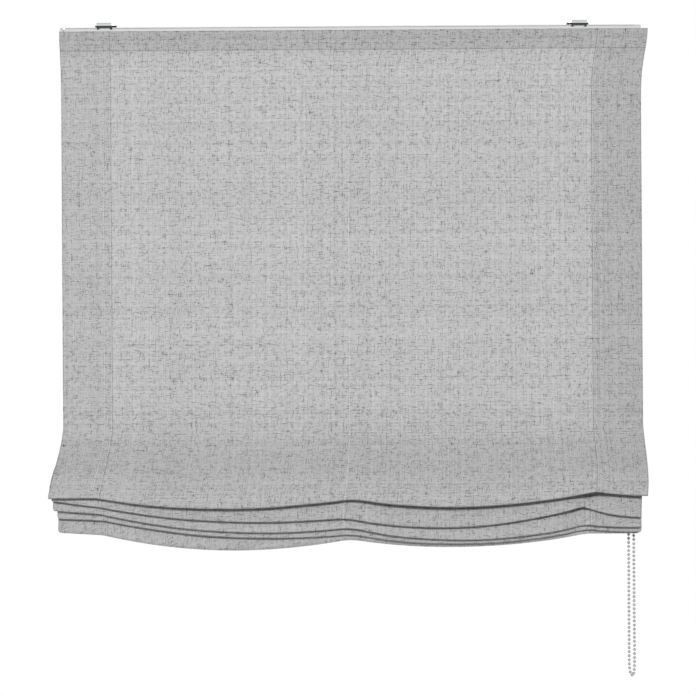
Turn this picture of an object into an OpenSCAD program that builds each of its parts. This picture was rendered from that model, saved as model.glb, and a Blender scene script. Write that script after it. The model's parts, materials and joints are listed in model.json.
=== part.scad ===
// Chain driven roman blind, drawn up part way, hanging from two ceiling clips.
// X runs along the headrail, the front faces -Y and Z points up.
// The origin lies on the ceiling, midway between the two clip screws.
// Heights are given as drops below the ceiling.

/* [Headrail] */
// Distance between the screws of the two clips
screw_spacing = 696; // [600:1:740]
// Diameter of the screw hole in a clip
screw_hole_d = 5; // [4:0.5:6]
// Gap between the ceiling and the top of the rail
rail_drop = 6.5; // [6.5:0.5:8]
// Depth of the rail from front to back
rail_depth = 30; // [30:0.5:34]
// Height of the rail
rail_height = 28; // [28:0.5:32]
// Wall of the aluminium profile
rail_wall = 1.3; // [1.1:0.1:1.4]
// Distance from the origin to the left end of the rail
rail_left = 407; // [405:1:412]
// Distance from the origin to the right end of the rail
rail_right = 429.5; // [429:0.5:432]

/* [Cloth] */
// Width of the sewn cloth
cloth_width = 850; // [830:1:860]
// Distance from the origin to the middle of the cloth
cloth_middle = 13; // [8:1:18]
// Drop of the upper edge of the cloth
cloth_top = 12.5; // [12.5:0.5:14]
// Height of the upper hem
top_hem = 30; // [26:1:34]
// Share by which the fastened upper edge is wider than the hanging cloth
top_stretch = 0.015; // [0:0.001:0.02]
// How far the fastened upper edge is hung towards the chain side
top_shift = 4; // [0:0.5:6]

/* [Folds] */
// Drop of the uppermost rings, where the cloth starts to bulge
ring_drop = 592; // [588:1:594]
// Drop from the uppermost ring to the first gathered crest
first_step = 42; // [40:1:44]
// Drop from each gathered crest to the next
ring_step = 11; // [10:0.5:12]
// How far the front fold stands out from the flat cloth
front_fold_depth = 78; // [76:1:84]
// How far the second fold stands out
second_fold_depth = 62; // [60:0.5:63]
// How much less each further fold stands out
fold_depth_step = 11.5; // [11:0.25:12]
// How much the lift lines draw a fold back
pinch = 6; // [0:0.5:8]

/* [Lift] */
// Left lift line
lift_left = -346; // [-360:1:-330]
// Middle lift line
lift_centre = 8; // [-10:1:20]
// Right lift line
lift_right = 371.5; // [360:0.5:372]
// Width of the tapes sewn along the lift lines
tape_width = 12; // [10:1:16]
// Diameter of the lift cord
cord_d = 1.2; // [1:0.1:1.4]
// Radius of the bare core of a cord drum
drum_r = 9.15; // [9:0.05:9.2]

/* [Chain] */
// Diameter of a chain bead
bead_d = 4.5; // [4:0.1:4.6]
// Distance from bead to bead
bead_pitch = 6; // [5.8:0.1:6]
// Number of pockets around the chain wheel
pockets = 10; // [10:1:10]

/* [Hidden] */
$fn = 48;

// Small gaps: a running fit, a loose seat and the overlap that joins or cuts cleanly
run_gap = 0.05;
seat_gap = 0.1;
clear_gap = 0.3;
bite = 1;

// Headrail
rail_top = -rail_drop;
rail_bottom = rail_top - rail_height;
rail_half = rail_depth / 2;
rail_inner_half = rail_half - rail_wall;
rail_inner_top = rail_top - rail_wall;
rail_inner_bottom = rail_bottom + rail_wall;
rail_lip = 2.2;
rail_flange = 1.4;
rail_flange_t = 1.2;
rail_rib = 1;
axle_z = (rail_inner_top + rail_inner_bottom) / 2;

// Clips
clip_t = 1.2;
clip_width = 23;
clip_bend_r = 1.6;
clip_lip = 4.5;
clip_reach = 2.5;
clip_gap = 0.2;
latch_t = 1;
latch_width = 22.4;
latch_span = 31.5;
latch_ear = 4.4;
latch_ear_half = 5;
latch_hook_w = 3;
latch_flat_front = -6;
latch_flat_back = 9;
latch_bend = -12;
clip_front = -rail_half - rail_flange - clip_gap;
clip_hook_z = rail_top - rail_flange_t - clip_gap;
clip_lip_y = clip_front - clip_reach;
latch_lip = clip_lip_y + clear_gap;
latch_lip_high = -clip_lip - clear_gap;
latch_lip_low = rail_top - rail_flange_t / 2;
latch_low = rail_top + seat_gap;
latch_high = -clip_t - run_gap;
latch_hook_x = (latch_width - latch_hook_w) / 2;

// End pieces
cap_plate = 5;
cap_neck = 2.2;
cap_plug = 12;
cap_lip = 0.3;
cap_face = 1.2;
cap_cut = 1.5;
cap_wall = 1.5;
cap_groove = 6;
drive_block = 9.5;
journal_collar = 1.8;
journal_collar_w = 3;
journal_inset = 1.5;
journal_proud = 4;
notch_depth = 2;

// Hook and loop fastening
fastener_t = 1;
fastener_h = 18;
fastener_inset = 6;

// Cloth surface, measured from the middle line of the cloth
cloth_left = cloth_middle - cloth_width / 2;
cloth_right = cloth_middle + cloth_width / 2;
front_skin = 0.45;
back_skin = 0.45;
hem_back_skin = 1.1;
hem_step = 1.5;
panel_y = -rail_half - 2 * fastener_t - seat_gap - hem_back_skin;
stretch_fade = 48;

// Lower edge of each fold from the front one back to the hem, as drops at the left end, left lift
// line, left swag, middle lift line, right swag, right lift line and right end
fold_edge = [
    [690, 690, 706, 693, 705, 685, 691],
    [695, 704, 725, 722, 735, 708, 723],
    [710, 715, 741, 737, 755, 735, 739],
    [723, 726, 750, 748, 762, 743, 747],
    [744, 748, 771, 756, 768, 750, 750]
];

// How far left of the right lift line each fold and the hem are drawn up highest
peak_shift = [8, 17, 10, 10, 10];
fold_count = len(fold_edge) - 1;
front_fold_r = 3;
fold_r = 2.5;
crest_r = 2.5;
crest_forward = 5;
crest_lean = 0.3;
crest_sag = 0.7;
ring_sag = 0.25;
flap_depth = 27;
end_rise = 0.4;

// Sideways shift of each fold and of the hem at the left and right edge of the cloth
lean_left = [8, 6, 6, 2, 3];
lean_right = [8, 15, 13, 10.5, 11.5];

// How a leg leaves its crest and reaches its foot
leg_throw = 0.3;
leg_hold = 0.4;

// Control points of the swelling front fold as shares of its [lean, depth, height]
swell_start = [0, 0.12, 0.333];
swell_end = [0.4, 0.9, 0.667];

// Samples along one line of the cloth from the top to the hem
panel_drops = [
    cloth_top, cloth_top + top_hem, cloth_top + top_hem + hem_step, 90, 300, 540
];
front_samples = 7;
leg_samples = 3;
fold_samples = 4;
crest_samples = 4;
flap_samples = 7;
flap_hem_samples = 2;

// Lift gear
lift_x = [lift_left, lift_centre, lift_right];
cord_r = cord_d / 2;
cord_y = -(drum_r + clear_gap + cord_r);
tape_half = tape_width / 2;
tape_t = 0.6;
ring_r = 5.2;
ring_wire_r = 0.9;
ring_count = fold_count + 1;
loop_w = 3;
loop_t = 0.5;
loop_root = 0.45;
drum_flange_r = 10.8;
drum_flange_t = 1.2;
drum_wall = 1.6;
drum_ribs = 6;
drum_rib_t = 1.2;
drum_journal_r = 4.6;
drum_journal_l = 4.5;
drum_left = 12;
drum_right = 16.5;
cradle_cheek = 2.6;
cradle_base_t = 1.4;
cradle_head = 2;
cradle_foot_half = 10.2;
cradle_arm_h = 3.2;
cradle_slot = 8.8;
coil_turns = 12;
coil_pitch = 1.2;
stop_r = 5.6;
stop_h = 9;
stop_neck_r = 2.5;
stop_edge = 0.6;
stop_rim = 2.2;
axle_flats = 6;
axle_r = axle_flats / 2 / cos(30);
axle_left = -400;
axle_right = 401;

// Chain drive
chain_x = 423;
wheel_r = bead_pitch / (2 * sin(180 / pockets));
wheel_rim_r = wheel_r - 0.7;
wheel_w = 9;
spindle_r = 4;
lead_in = 0.6;
spring_wire = 1.1;
spring_grip = 0.03;
spring_turns = 3;
spring_pitch = 1.045;
spring_places = [2.1, 6.1];
wheel_edge = 1;
wheel_room = 1.2;
chain_room = 0.45;
pocket_gap = 0.2;
skirt_r = 7.8;
skirt_wall = 1.2;
skirt_inset = 0.6;
skirt_slot_l = 8;
skirt_slot_w = 4.4;
tongue_t = 0.9;
tongue_l = 6;
tongue_gap = 0.2;
axle_end_gap = 0.4;
housing_left = 404;
coupling_left = 396;
chain_cord_r = 0.5;

// Front half of the hanging chain, from the wheel down to the middle of the loop
chain_front = [
    [423, -9.7, axle_z], [423, -9.7, -40], [423.1, -9.6, -80], [423.3, -9.4, -160],
    [423.7, -9.1, -260], [424.1, -8.7, -360], [424.5, -8.3, -460], [424.9, -7.9, -560],
    [425.2, -7.5, -660], [425.4, -7.2, -760], [425.6, -6.9, -860], [425.7, -6.6, -940],
    [425.6, -6.1, -952], [425.1, -4.7, -960], [424.2, -2.6, -964], [423, 0, -965]
];

// The other half is the same run turned half round the middle of the wheel
chain_back = [
    for (i = [len(chain_front) - 2 : -1 : 0])
        [2 * chain_x - chain_front[i].x, -chain_front[i].y, chain_front[i].z]
];
chain_route = concat(chain_front, chain_back);

// Blend of two values, and a cubic curve on four control points
function mix(a, b, t) = a + (b - a) * t;
function curve(a, b, c, d, t) =
    pow(1 - t, 3) * a + 3 * pow(1 - t, 2) * t * b + 3 * (1 - t) * t * t * c + pow(t, 3) * d;

// Position between two lift lines, from 0 to 1, and an arch over it that is 1 in the middle
function between(x, i) = (x - lift_x[i]) / (lift_x[i + 1] - lift_x[i]);
function arch(t) = 4 * t * (1 - t);

// How much lower the left or right swag of a fold hangs than straight between its ends
function swag(row, i) = row[2 * i + 2] - (row[2 * i + 1] + row[2 * i + 3]) / 2;

// Drop of one fold's edge at any place across the blind: an arch in each swag, a slope at each end
function edge_drop(k, x) =
    let (row = fold_edge[k], peak = lift_x[2] - peak_shift[k])
    x < lift_x[0] ? mix(row[1], row[0], (lift_x[0] - x) / (lift_x[0] - cloth_left)) :
    x < lift_x[1] ? mix(row[1], row[3], between(x, 0)) + swag(row, 0) * arch(between(x, 0)) :
    let (t = (x - lift_x[1]) / (peak - lift_x[1]), u = (x - peak) / (cloth_right - peak))
    x < peak ? mix(row[3], row[5], t) + swag(row, 1) * arch(t) : mix(row[5], row[6], u * (2 - u));

// How free the cloth hangs: 0 on a lift line, 1 in the middle of a swag
function freedom(x) =
    x < lift_x[0] ? end_rise * (lift_x[0] - x) / (lift_x[0] - cloth_left) :
    x < lift_x[1] ? arch(between(x, 0)) :
    x < lift_x[2] ? arch(between(x, 1)) :
    end_rise * (x - lift_x[2]) / (cloth_right - lift_x[2]);

// How much a fold sags between the lift lines
function edge_sag(k, x) =
    x < lift_x[0] || x > lift_x[2] ? 0 :
    x < lift_x[1] ? swag(fold_edge[k], 0) * arch(between(x, 0)) :
    swag(fold_edge[k], 1) * arch(between(x, 1));

// Stand-out of a fold's front, and the drops of the ring line and of the gathered crests
function fold_depth(k, x) =
    (k == 0 ? front_fold_depth : second_fold_depth - fold_depth_step * (k - 1))
    - (k == 0 ? pinch : pinch / 3) * (1 - freedom(x));
function turn_r(k) = k == 0 ? front_fold_r : fold_r;
function ring_line(x) = ring_drop + ring_sag * edge_sag(0, x);
function crest_drop(k, x) =
    ring_drop + first_step + ring_step * (k - 1) + crest_sag * edge_sag(k, x);
function crest_y(x) = panel_y - crest_r - crest_forward * freedom(x);

// Sideways shift of a fold, and the middle of a crest, as [lean, y, z]
function lean(k, x) = -mix(lean_left[k], lean_right[k], (x - cloth_left) / cloth_width);
function crest(k, x) = [crest_lean * lean(k, x), crest_y(x), -crest_drop(k, x)];

// Ends of the front and back leg of a fold as [lean, y, z]
function front_top(k, x) = k == 0 ? [0, panel_y, -ring_line(x)] : crest(k, x) - [0, 0, crest_r];
function front_foot(k, x) =
    [lean(k, x), panel_y - fold_depth(k, x), -edge_drop(k, x) + turn_r(k)];
function back_foot(k, x) = front_foot(k, x) + [0, 2 * turn_r(k), 0];
function back_top(k, x) = crest(k + 1, x) + [0, 0, crest_r];

// A leg leaves its crest forwards and comes down upright; the front fold swells out gently
function leg(top, foot, t) = curve(
    top, top + [0, leg_throw * (foot.y - top.y), 0],
    foot + [0, 0, leg_hold * (top.z - foot.z)], foot, t
);
function part_way(a, b, share) = [for (i = [0 : 2]) mix(a[i], b[i], share[i])];
function swell(top, foot, t) =
    curve(top, part_way(top, foot, swell_start), part_way(top, foot, swell_end), foot, t);
function front_leg(k, x, t) =
    k == 0 ? swell(front_top(k, x), front_foot(k, x), t) : leg(front_top(k, x), front_foot(k, x), t);
function back_leg(k, x, t) = leg(back_top(k, x), back_foot(k, x), t);

// Half turns: downwards at the foot of a fold, backwards at a crest
function fold_turn(k, x, t) =
    front_foot(k, x) + turn_r(k) * [0, 1 - cos(180 * t), -sin(180 * t)];
function crest_turn(k, x, t) =
    crest(k, x) + crest_r * [0, sin(180 * t), cos(180 * t)];

// One fold: down the front leg, round the foot, up the back leg and round the next crest
function fold_line(k, x) = concat(
    [for (i = [0 : (k == 0 ? front_samples : leg_samples) - 1])
        front_leg(k, x, i / (k == 0 ? front_samples : leg_samples))],
    [for (i = [0 : fold_samples - 1]) fold_turn(k, x, i / fold_samples)],
    [for (i = [0 : leg_samples - 1]) back_leg(k, x, 1 - i / leg_samples)],
    [for (i = [0 : crest_samples - 1]) crest_turn(k + 1, x, i / crest_samples)]
);

// The loose flap behind the folds, down to the lower edge
function flap_foot(x) =
    [lean(fold_count, x), panel_y - flap_depth, -edge_drop(fold_count, x)];
function flap_line(x) =
    [for (i = [0 : flap_samples]) leg(front_top(fold_count, x), flap_foot(x), i / flap_samples)];

// Middle line of the cloth from the upper edge to the lower one
function cloth_line(x) = concat(
    [for (drop = panel_drops) [0, panel_y, -drop]],
    [for (k = [0 : fold_count - 1]) each fold_line(k, x)],
    flap_line(x)
);
line_count = len(cloth_line(cloth_left));
flap_hem_row = line_count - 2 - flap_hem_samples;

// Direction of the back of the cloth at a sample of its middle line
function back_way(line, j) =
    let (step = line[min(j + 1, line_count - 1)] - line[max(j - 1, 0)])
    [0, -step.z, step.y] / norm([step.y, step.z]);

// A line of points lying off the middle line, at one place across the blind
function offset_line(x, line, rows, skins) = [
    for (n = [0 : len(rows) - 1])
        let (
            p = line[rows[n]],
            hold = exp(-pow((p.z + cloth_top) / stretch_fade, 2)),
            pull = hold * (top_shift + top_stretch * (x - cloth_middle)),
            away = skins[n] * back_way(line, rows[n])
        )
        [x + p.x + pull, p.y + away.y, p.z + away.z]
];

// Places across the blind where the cloth is worked out
function steps(a, b, n) = [for (i = [1 : n - 1]) mix(a, b, i / n)];
side_steps = 4;
swag_steps = 8;
stations = concat(
    [cloth_left], steps(cloth_left, lift_left - tape_half, side_steps),
    [lift_left - tape_half, lift_left + tape_half, lift_left + tape_half + hem_step],
    steps(lift_left + tape_half, lift_centre - tape_half, swag_steps),
    [lift_centre - tape_half, lift_centre + tape_half],
    steps(lift_centre + tape_half, lift_right - tape_half, swag_steps),
    [lift_right - max(peak_shift)],
    [lift_right - tape_half - hem_step, lift_right - tape_half, lift_right + tape_half],
    steps(lift_right + tape_half, cloth_right, side_steps), [cloth_right]
);

// Thickness behind the middle line: more where a hem doubles the cloth
function in_side_hem(x) = x <= lift_left + tape_half || x >= lift_right - tape_half;
function back_skin_at(x, row) =
    in_side_hem(x) || row <= 1 || row > flap_hem_row ? hem_back_skin : back_skin;

// Closed sheet between a front and a back grid of points
function sheet_faces(n, m) =
    let (back = n * m)
    concat(
        [for (i = [0 : n - 2], j = [0 : m - 2], half = [0, 1])
            let (a = i * m + j, b = a + m)
            half == 0 ? [a, b, b + 1] : [a, b + 1, a + 1]],
        [for (i = [0 : n - 2], j = [0 : m - 2], half = [0, 1])
            let (a = back + i * m + j, b = a + m)
            half == 0 ? [a, b + 1, b] : [a, a + 1, b + 1]],
        [for (j = [0 : m - 2], half = [0, 1])
            half == 0 ? [j, j + 1, back + j + 1] : [j, back + j + 1, back + j]],
        [for (j = [0 : m - 2], half = [0, 1])
            let (a = (n - 1) * m + j)
            half == 0 ? [a + 1, a, back + a] : [a + 1, back + a, back + a + 1]],
        [for (i = [0 : n - 2], half = [0, 1])
            let (a = i * m, b = a + m)
            half == 0 ? [b, a, back + a] : [b, back + a, back + b]],
        [for (i = [0 : n - 2], half = [0, 1])
            let (a = i * m + m - 1, b = a + m)
            half == 0 ? [a, b, back + b] : [a, back + b, back + a]]
    );
module sheet(front, back) {
    n = len(front);
    m = len(front[0]);
    points = concat([for (line = front) each line], [for (line = back) each line]);
    polyhedron(points, sheet_faces(n, m), convexity = 10);
}

// The whole cloth with its folds and hems, one sheet
module cloth() {
    rows = [for (j = [0 : line_count - 1]) j];
    lines = [for (x = stations) cloth_line(x)];
    front = [
        for (i = [0 : len(stations) - 1])
            offset_line(stations[i], lines[i], rows, [for (j = rows) -front_skin])
    ];
    back = [
        for (i = [0 : len(stations) - 1])
            offset_line(stations[i], lines[i], rows, [for (j = rows) back_skin_at(stations[i], j)])
    ];
    color([0.66, 0.66, 0.66]) sheet(front, back);
}

// Drop and place of the rings on one lift line
function ring_z(k, x) = -(k == 0 ? ring_line(x) : crest_drop(k, x));
function lift_skin(x) = in_side_hem(x) ? hem_back_skin : back_skin;
function tape_back(k, x) =
    (k == 0 ? panel_y : crest_y(x + tape_half) + crest_r) + lift_skin(x) + seat_gap + tape_t;

// Tape sewn behind the cloth, with a small loop around each ring
module lift_tape(i) {
    x = lift_x[i];
    edges = [x - tape_half, x + tape_half];
    rows = [for (j = [2 : line_count - 6]) j];
    inner = lift_skin(x) + seat_gap;
    front = [for (e = edges) offset_line(e, cloth_line(e), rows, [for (j = rows) inner])];
    back = [for (e = edges) offset_line(e, cloth_line(e), rows, [for (j = rows) inner + tape_t])];
    loop_in = cord_y - ring_r + ring_wire_r + 2 * clear_gap;
    color([0.86, 0.86, 0.85]) {
        sheet(front, back);
        for (k = [0 : ring_count - 1])
            translate([x - loop_w / 2, 0, ring_z(k, x)])
                ring_loop(tape_back(k, x) - loop_root, loop_in);
    }
}
module ring_loop(from_y, to_y) {
    half = ring_wire_r + seat_gap;
    difference() {
        translate([0, from_y, -half - loop_t])
            cube([loop_w, to_y + loop_t - from_y, 2 * (half + loop_t)]);
        translate([-bite, from_y - bite, -half])
            cube([loop_w + 2 * bite, to_y - from_y + bite, 2 * half]);
    }
}

// Moulded rings that the lift cord runs through
module rings(i) {
    color([0.9, 0.9, 0.9])
        for (k = [0 : ring_count - 1])
            translate([lift_x[i], cord_y, ring_z(k, lift_x[i])])
                rotate_extrude() translate([ring_r, 0]) circle(ring_wire_r);
}

// Hanging run of the lift cord, from the drum down to its stop
module lift_cord(i) {
    bottom = ring_z(ring_count - 1, lift_x[i]) - ring_wire_r - loop_t - stop_h;
    color([0.95, 0.95, 0.94])
        translate([lift_x[i], cord_y, bottom]) cylinder(r = cord_r, h = axle_z - bottom);
}

// Moulded stop under the lowest ring: a bell with a bore for the knotted cord
module cord_stop(i) {
    top = ring_z(ring_count - 1, lift_x[i]) - ring_wire_r - 2 * seat_gap - loop_t;
    color([0.93, 0.93, 0.92])
        translate([lift_x[i], cord_y, top - stop_h])
            rotate_extrude()
                polygon([
                    [cord_r + run_gap, 0], [stop_neck_r, 0], [stop_neck_r + stop_edge, stop_edge],
                    [stop_neck_r + 1.5 * stop_edge, stop_h / 2], [stop_r, stop_h - stop_rim],
                    [stop_r, stop_h - stop_edge], [stop_r - stop_edge, stop_h],
                    [cord_r + run_gap, stop_h]
                ]);
}

// Hexagonal bar along X, or the hole for it
module hex_bar(from_x, to_x, gap = 0) {
    translate([from_x, 0, axle_z]) rotate([0, 90, 0])
        cylinder(r = axle_r + gap, h = to_x - from_x, $fn = 6);
}

// A turned shape around the axle line: the profile gives radius and place along X
module turned() {
    translate([0, 0, axle_z]) rotate([0, 90, 0]) rotate_extrude() children();
}

// Spool with flanges and journals; the core is open from its right side and ribbed inside
module cord_drum(i) {
    left = lift_x[i] - drum_left;
    right = lift_x[i] + drum_right;
    open_end = right + drum_flange_t + bite;
    color([0.88, 0.88, 0.87]) difference() {
        union() {
            turned() difference() {
                union() {
                    translate([0, left]) square([drum_r, right - left]);
                    translate([0, left - drum_flange_t]) square([drum_flange_r, drum_flange_t]);
                    translate([0, right]) square([drum_flange_r, drum_flange_t]);
                    translate([0, left - drum_flange_t - drum_journal_l])
                        square([drum_journal_r, right - left + 2 * (drum_flange_t + drum_journal_l)]);
                }
                translate([drum_journal_r, left + drum_wall])
                    square([drum_r - drum_wall - drum_journal_r, open_end - left - drum_wall]);
            }
            for (rib = [0 : drum_ribs - 1])
                translate([left + drum_wall / 2, 0, axle_z]) rotate([rib * 360 / drum_ribs, 0, 0])
                    translate([0, -drum_rib_t / 2, drum_journal_r - drum_wall / 2])
                        cube([right - left - drum_wall / 2, drum_rib_t, drum_r - drum_journal_r]);
        }
        hex_bar(left - drum_flange_t - drum_journal_l - bite,
            right + drum_flange_t + drum_journal_l + bite, run_gap);
    }
}

// Turns of lift cord that are wound on a drum, beside the place where the cord leaves it
module cord_coil(i) {
    start = lift_x[i] + cord_d + clear_gap;
    radius = drum_r + run_gap + cord_r;
    color([0.95, 0.95, 0.94]) turned() {
        for (turn = [0 : coil_turns - 1])
            translate([radius, start + turn * coil_pitch]) circle(cord_r);
        translate([drum_r + run_gap, start]) square([cord_r, (coil_turns - 1) * coil_pitch]);
    }
}

// Cradle that drops into the rail and carries a drum in two open snap bearings
module drum_cradle(i) {
    left = lift_x[i] - drum_left - drum_flange_t - drum_journal_l + clear_gap;
    right = lift_x[i] + drum_right + drum_flange_t + drum_journal_l - clear_gap;
    length = right - left;
    half = rail_inner_half - seat_gap;
    base = rail_inner_bottom + seat_gap;
    base_top = base + cradle_base_t;
    rib_out = rail_inner_half - rail_lip - seat_gap;
    color([0.92, 0.92, 0.91]) difference() {
        union() {
            translate([left, -half, base]) cube([length, 2 * half, cradle_base_t]);
            for (x = [left, right - cradle_cheek])
                translate([x, 0, 0]) rotate([90, 0, 90]) linear_extrude(cradle_cheek)
                    bearing_cheek(base);
            for (y = [-rib_out, rib_out - cradle_base_t])
                translate([left, y, rail_bottom]) cube([length, cradle_base_t, base_top - rail_bottom]);
        }
        turned() translate([0, left - bite]) square([drum_journal_r + run_gap, length + 2 * bite]);
        translate([left - bite, -cradle_slot / 2, axle_z])
            cube([length + 2 * bite, cradle_slot, drum_journal_r + cradle_head + bite]);
        translate([lift_x[i], cord_y, rail_bottom - bite])
            cylinder(r = 2 * cord_r, h = base_top - rail_bottom + 2 * bite);
        translate([left + 2 * cradle_cheek, -half / 2, base - bite])
            cube([length - 4 * cradle_cheek, half, cradle_base_t + 2 * bite]);
    }
}

// Outline of a cradle's cheek: a tapered post with a round head, cut level above the journal
module bearing_cheek(base) {
    head_r = drum_journal_r + cradle_head;
    foot = cradle_foot_half;
    intersection() {
        union() {
            polygon([[-foot, base], [foot, base], [head_r, axle_z], [-head_r, axle_z]]);
            translate([0, axle_z]) circle(head_r);
        }
        translate([-foot, base]) square([2 * foot, axle_z + cradle_arm_h - base]);
    }
}

// Extruded aluminium profile, open below, with flanges that the clips grip
module headrail() {
    color([0.93, 0.94, 0.94]) difference() {
        translate([-rail_left, 0, 0]) rotate([90, 0, 90])
            linear_extrude(rail_left + rail_right) rail_section();
        translate([housing_left - bite, -rail_inner_half, rail_bottom - bite])
            cube([rail_right - housing_left + 2 * bite, 2 * rail_inner_half, rail_wall + 2 * bite]);
    }
}
module rail_section() {
    difference() {
        translate([-rail_half, rail_bottom]) square([rail_depth, rail_height]);
        translate([-rail_inner_half, rail_inner_bottom])
            square([2 * rail_inner_half, rail_inner_top - rail_inner_bottom]);
        translate([-rail_inner_half + rail_lip, rail_bottom - bite])
            square([2 * (rail_inner_half - rail_lip), rail_wall + 2 * bite]);
    }
    translate([-rail_half - rail_flange, rail_top - rail_flange_t])
        square([rail_depth + 2 * rail_flange, rail_flange_t]);
    for (side = [-1, 1])
        translate([side * (rail_half - rail_wall / 2) - rail_wall / 2, rail_bottom - rail_rib])
            square([rail_wall, rail_rib + rail_wall / 2]);
}

// Two halves of the touch fastening between rail and cloth
module fastening(layer, shade) {
    color(shade)
        translate([-rail_left + fastener_inset, -rail_half - (layer + 1) * fastener_t,
                -cloth_top - fastener_inset / 3 - fastener_h])
            cube([rail_left + rail_right - 2 * fastener_inset, fastener_t, fastener_h]);
}
module hook_tape() { fastening(0, [0.9, 0.9, 0.9]); }
module loop_tape() { fastening(1, [0.82, 0.82, 0.82]); }

// Plated clip: a screwed plate with a front lip turned down and a hook at the back
module bracket(x) {
    color([0.82, 0.83, 0.84]) translate([x, 0, 0]) difference() {
        translate([-clip_width / 2, 0, 0]) rotate([90, 0, 90])
            linear_extrude(clip_width) clip_section();
        translate([0, 0, -clip_t - bite]) cylinder(d = screw_hole_d, h = clip_t + 2 * bite);
    }
}
module clip_section() {
    back = -clip_front;
    bend_y = clip_lip_y + clip_bend_r;
    translate([bend_y, -clip_t]) square([back - bend_y, clip_t]);
    intersection() {
        translate([bend_y, -clip_bend_r]) difference() {
            circle(clip_bend_r);
            circle(clip_bend_r - clip_t);
        }
        translate([clip_lip_y - bite, -clip_bend_r]) square([clip_bend_r + bite, clip_bend_r + bite]);
    }
    translate([clip_lip_y, -clip_lip]) square([clip_t, clip_lip - clip_bend_r]);
    translate([back, clip_hook_z - clip_t]) square([clip_t, -clip_hook_z + clip_t]);
    translate([rail_half + clip_gap, clip_hook_z - clip_t])
        square([back - rail_half, clip_t]);
}

// Dark spring latch clamped under the plate: a sloping leaf with a front lip, two hooks that snap
// under the front flange of the rail and two ears to press it back by
module clip_latch(x) {
    color([0.2, 0.2, 0.21]) translate([x, 0, 0]) difference() {
        union() {
            translate([-latch_width / 2, 0, 0]) rotate([90, 0, 90])
                linear_extrude(latch_width) latch_leaf();
            for (side = [-1, 1])
                translate([side * latch_hook_x - latch_hook_w / 2, 0, 0]) rotate([90, 0, 90])
                    linear_extrude(latch_hook_w) latch_hook();
            translate([0, latch_ear_half, 0]) rotate([90, 0, 0])
                linear_extrude(2 * latch_ear_half) latch_ears();
        }
        translate([0, 0, latch_high - latch_t - bite])
            cylinder(d = screw_hole_d + 2 * clear_gap, h = latch_t + 2 * bite);
    }
}
module latch_leaf() {
    lip_back = latch_lip + latch_t;
    polygon([
        [latch_lip, latch_lip_low], [lip_back, latch_lip_low], [lip_back, latch_low],
        [latch_bend, latch_low], [latch_flat_front, latch_high - latch_t],
        [latch_flat_back, latch_high - latch_t], [latch_flat_back, latch_high],
        [latch_flat_front, latch_high], [latch_bend, latch_low + latch_t],
        [lip_back, latch_low + latch_t], [lip_back, latch_lip_high], [latch_lip, latch_lip_high]
    ]);
}
module latch_ears() {
    half = latch_span / 2;
    difference() {
        translate([-half, latch_high - latch_ear]) square([2 * half, latch_ear]);
        translate([latch_t - half, latch_high - latch_ear - bite])
            square([2 * (half - latch_t), latch_ear - latch_t + bite]);
    }
}
module latch_hook() {
    tip = -rail_half - clip_gap;
    polygon([
        [latch_lip, clip_hook_z - latch_t], [tip, clip_hook_z - latch_t], [tip, clip_hook_z],
        [latch_lip + latch_t, clip_hook_z], [latch_lip + latch_t, latch_low], [latch_lip, latch_low]
    ]);
}

// Box across the inside of the rail, shrunk by a gap
module rail_plug(from_x, to_x, gap) {
    half = rail_inner_half - gap;
    translate([from_x, -half, rail_inner_bottom + gap])
        cube([to_x - from_x, 2 * half, rail_inner_top - rail_inner_bottom - 2 * gap]);
}

// Outline of the rail with cut corners, grown by a margin and given a thickness along X
module rail_end(from_x, thickness, margin) {
    half = rail_half + margin;
    low = rail_bottom - margin;
    high = rail_top + margin;
    translate([from_x, 0, 0]) rotate([90, 0, 90]) linear_extrude(thickness)
        polygon([
            [cap_cut - half, low], [half - cap_cut, low], [half, low + cap_cut], [half, high - cap_cut],
            [half - cap_cut, high], [cap_cut - half, high], [-half, high - cap_cut], [-half, low + cap_cut]
        ]);
}

// Left end cap: plate, deep groove and a hollow plug with the bearing for the axle
module end_cap_left() {
    outer = -rail_left - cap_neck - cap_plate;
    inner = -rail_left + cap_plug;
    boss_r = drum_journal_r + journal_collar;
    color([0.95, 0.95, 0.95]) difference() {
        union() {
            rail_end(outer + cap_face, cap_plate - cap_face, cap_lip);
            rail_end(outer, cap_plate / 2, -cap_face / 2);
            rail_plug(outer + cap_plate / 2, -rail_left + cap_wall / 2, cap_groove);
            difference() {
                rail_plug(-rail_left, inner, seat_gap);
                rail_plug(-rail_left + cap_wall, inner + bite, rail_wall);
            }
            turned() translate([0, outer + cap_plate / 2]) square([boss_r, inner - outer - cap_plate / 2]);
        }
        turned() translate([0, -rail_left - cap_neck / 2])
            square([drum_journal_r + run_gap, cap_plug + cap_neck]);
    }
}

// Plain bearing on the left end of the axle
module axle_journal() {
    left = -rail_left + journal_inset;
    right = -rail_left + cap_plug + journal_proud;
    color([0.8, 0.8, 0.8]) difference() {
        turned() union() {
            translate([0, left]) square([drum_journal_r, right - left]);
            translate([0, right - journal_collar_w])
                square([drum_journal_r + journal_collar, journal_collar_w]);
        }
        hex_bar(axle_left - run_gap, right + bite, run_gap);
    }
}

// Hexagonal axle that turns all drums together
module drive_axle() {
    color([0.7, 0.7, 0.72]) hex_bar(axle_left, axle_right);
}

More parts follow.
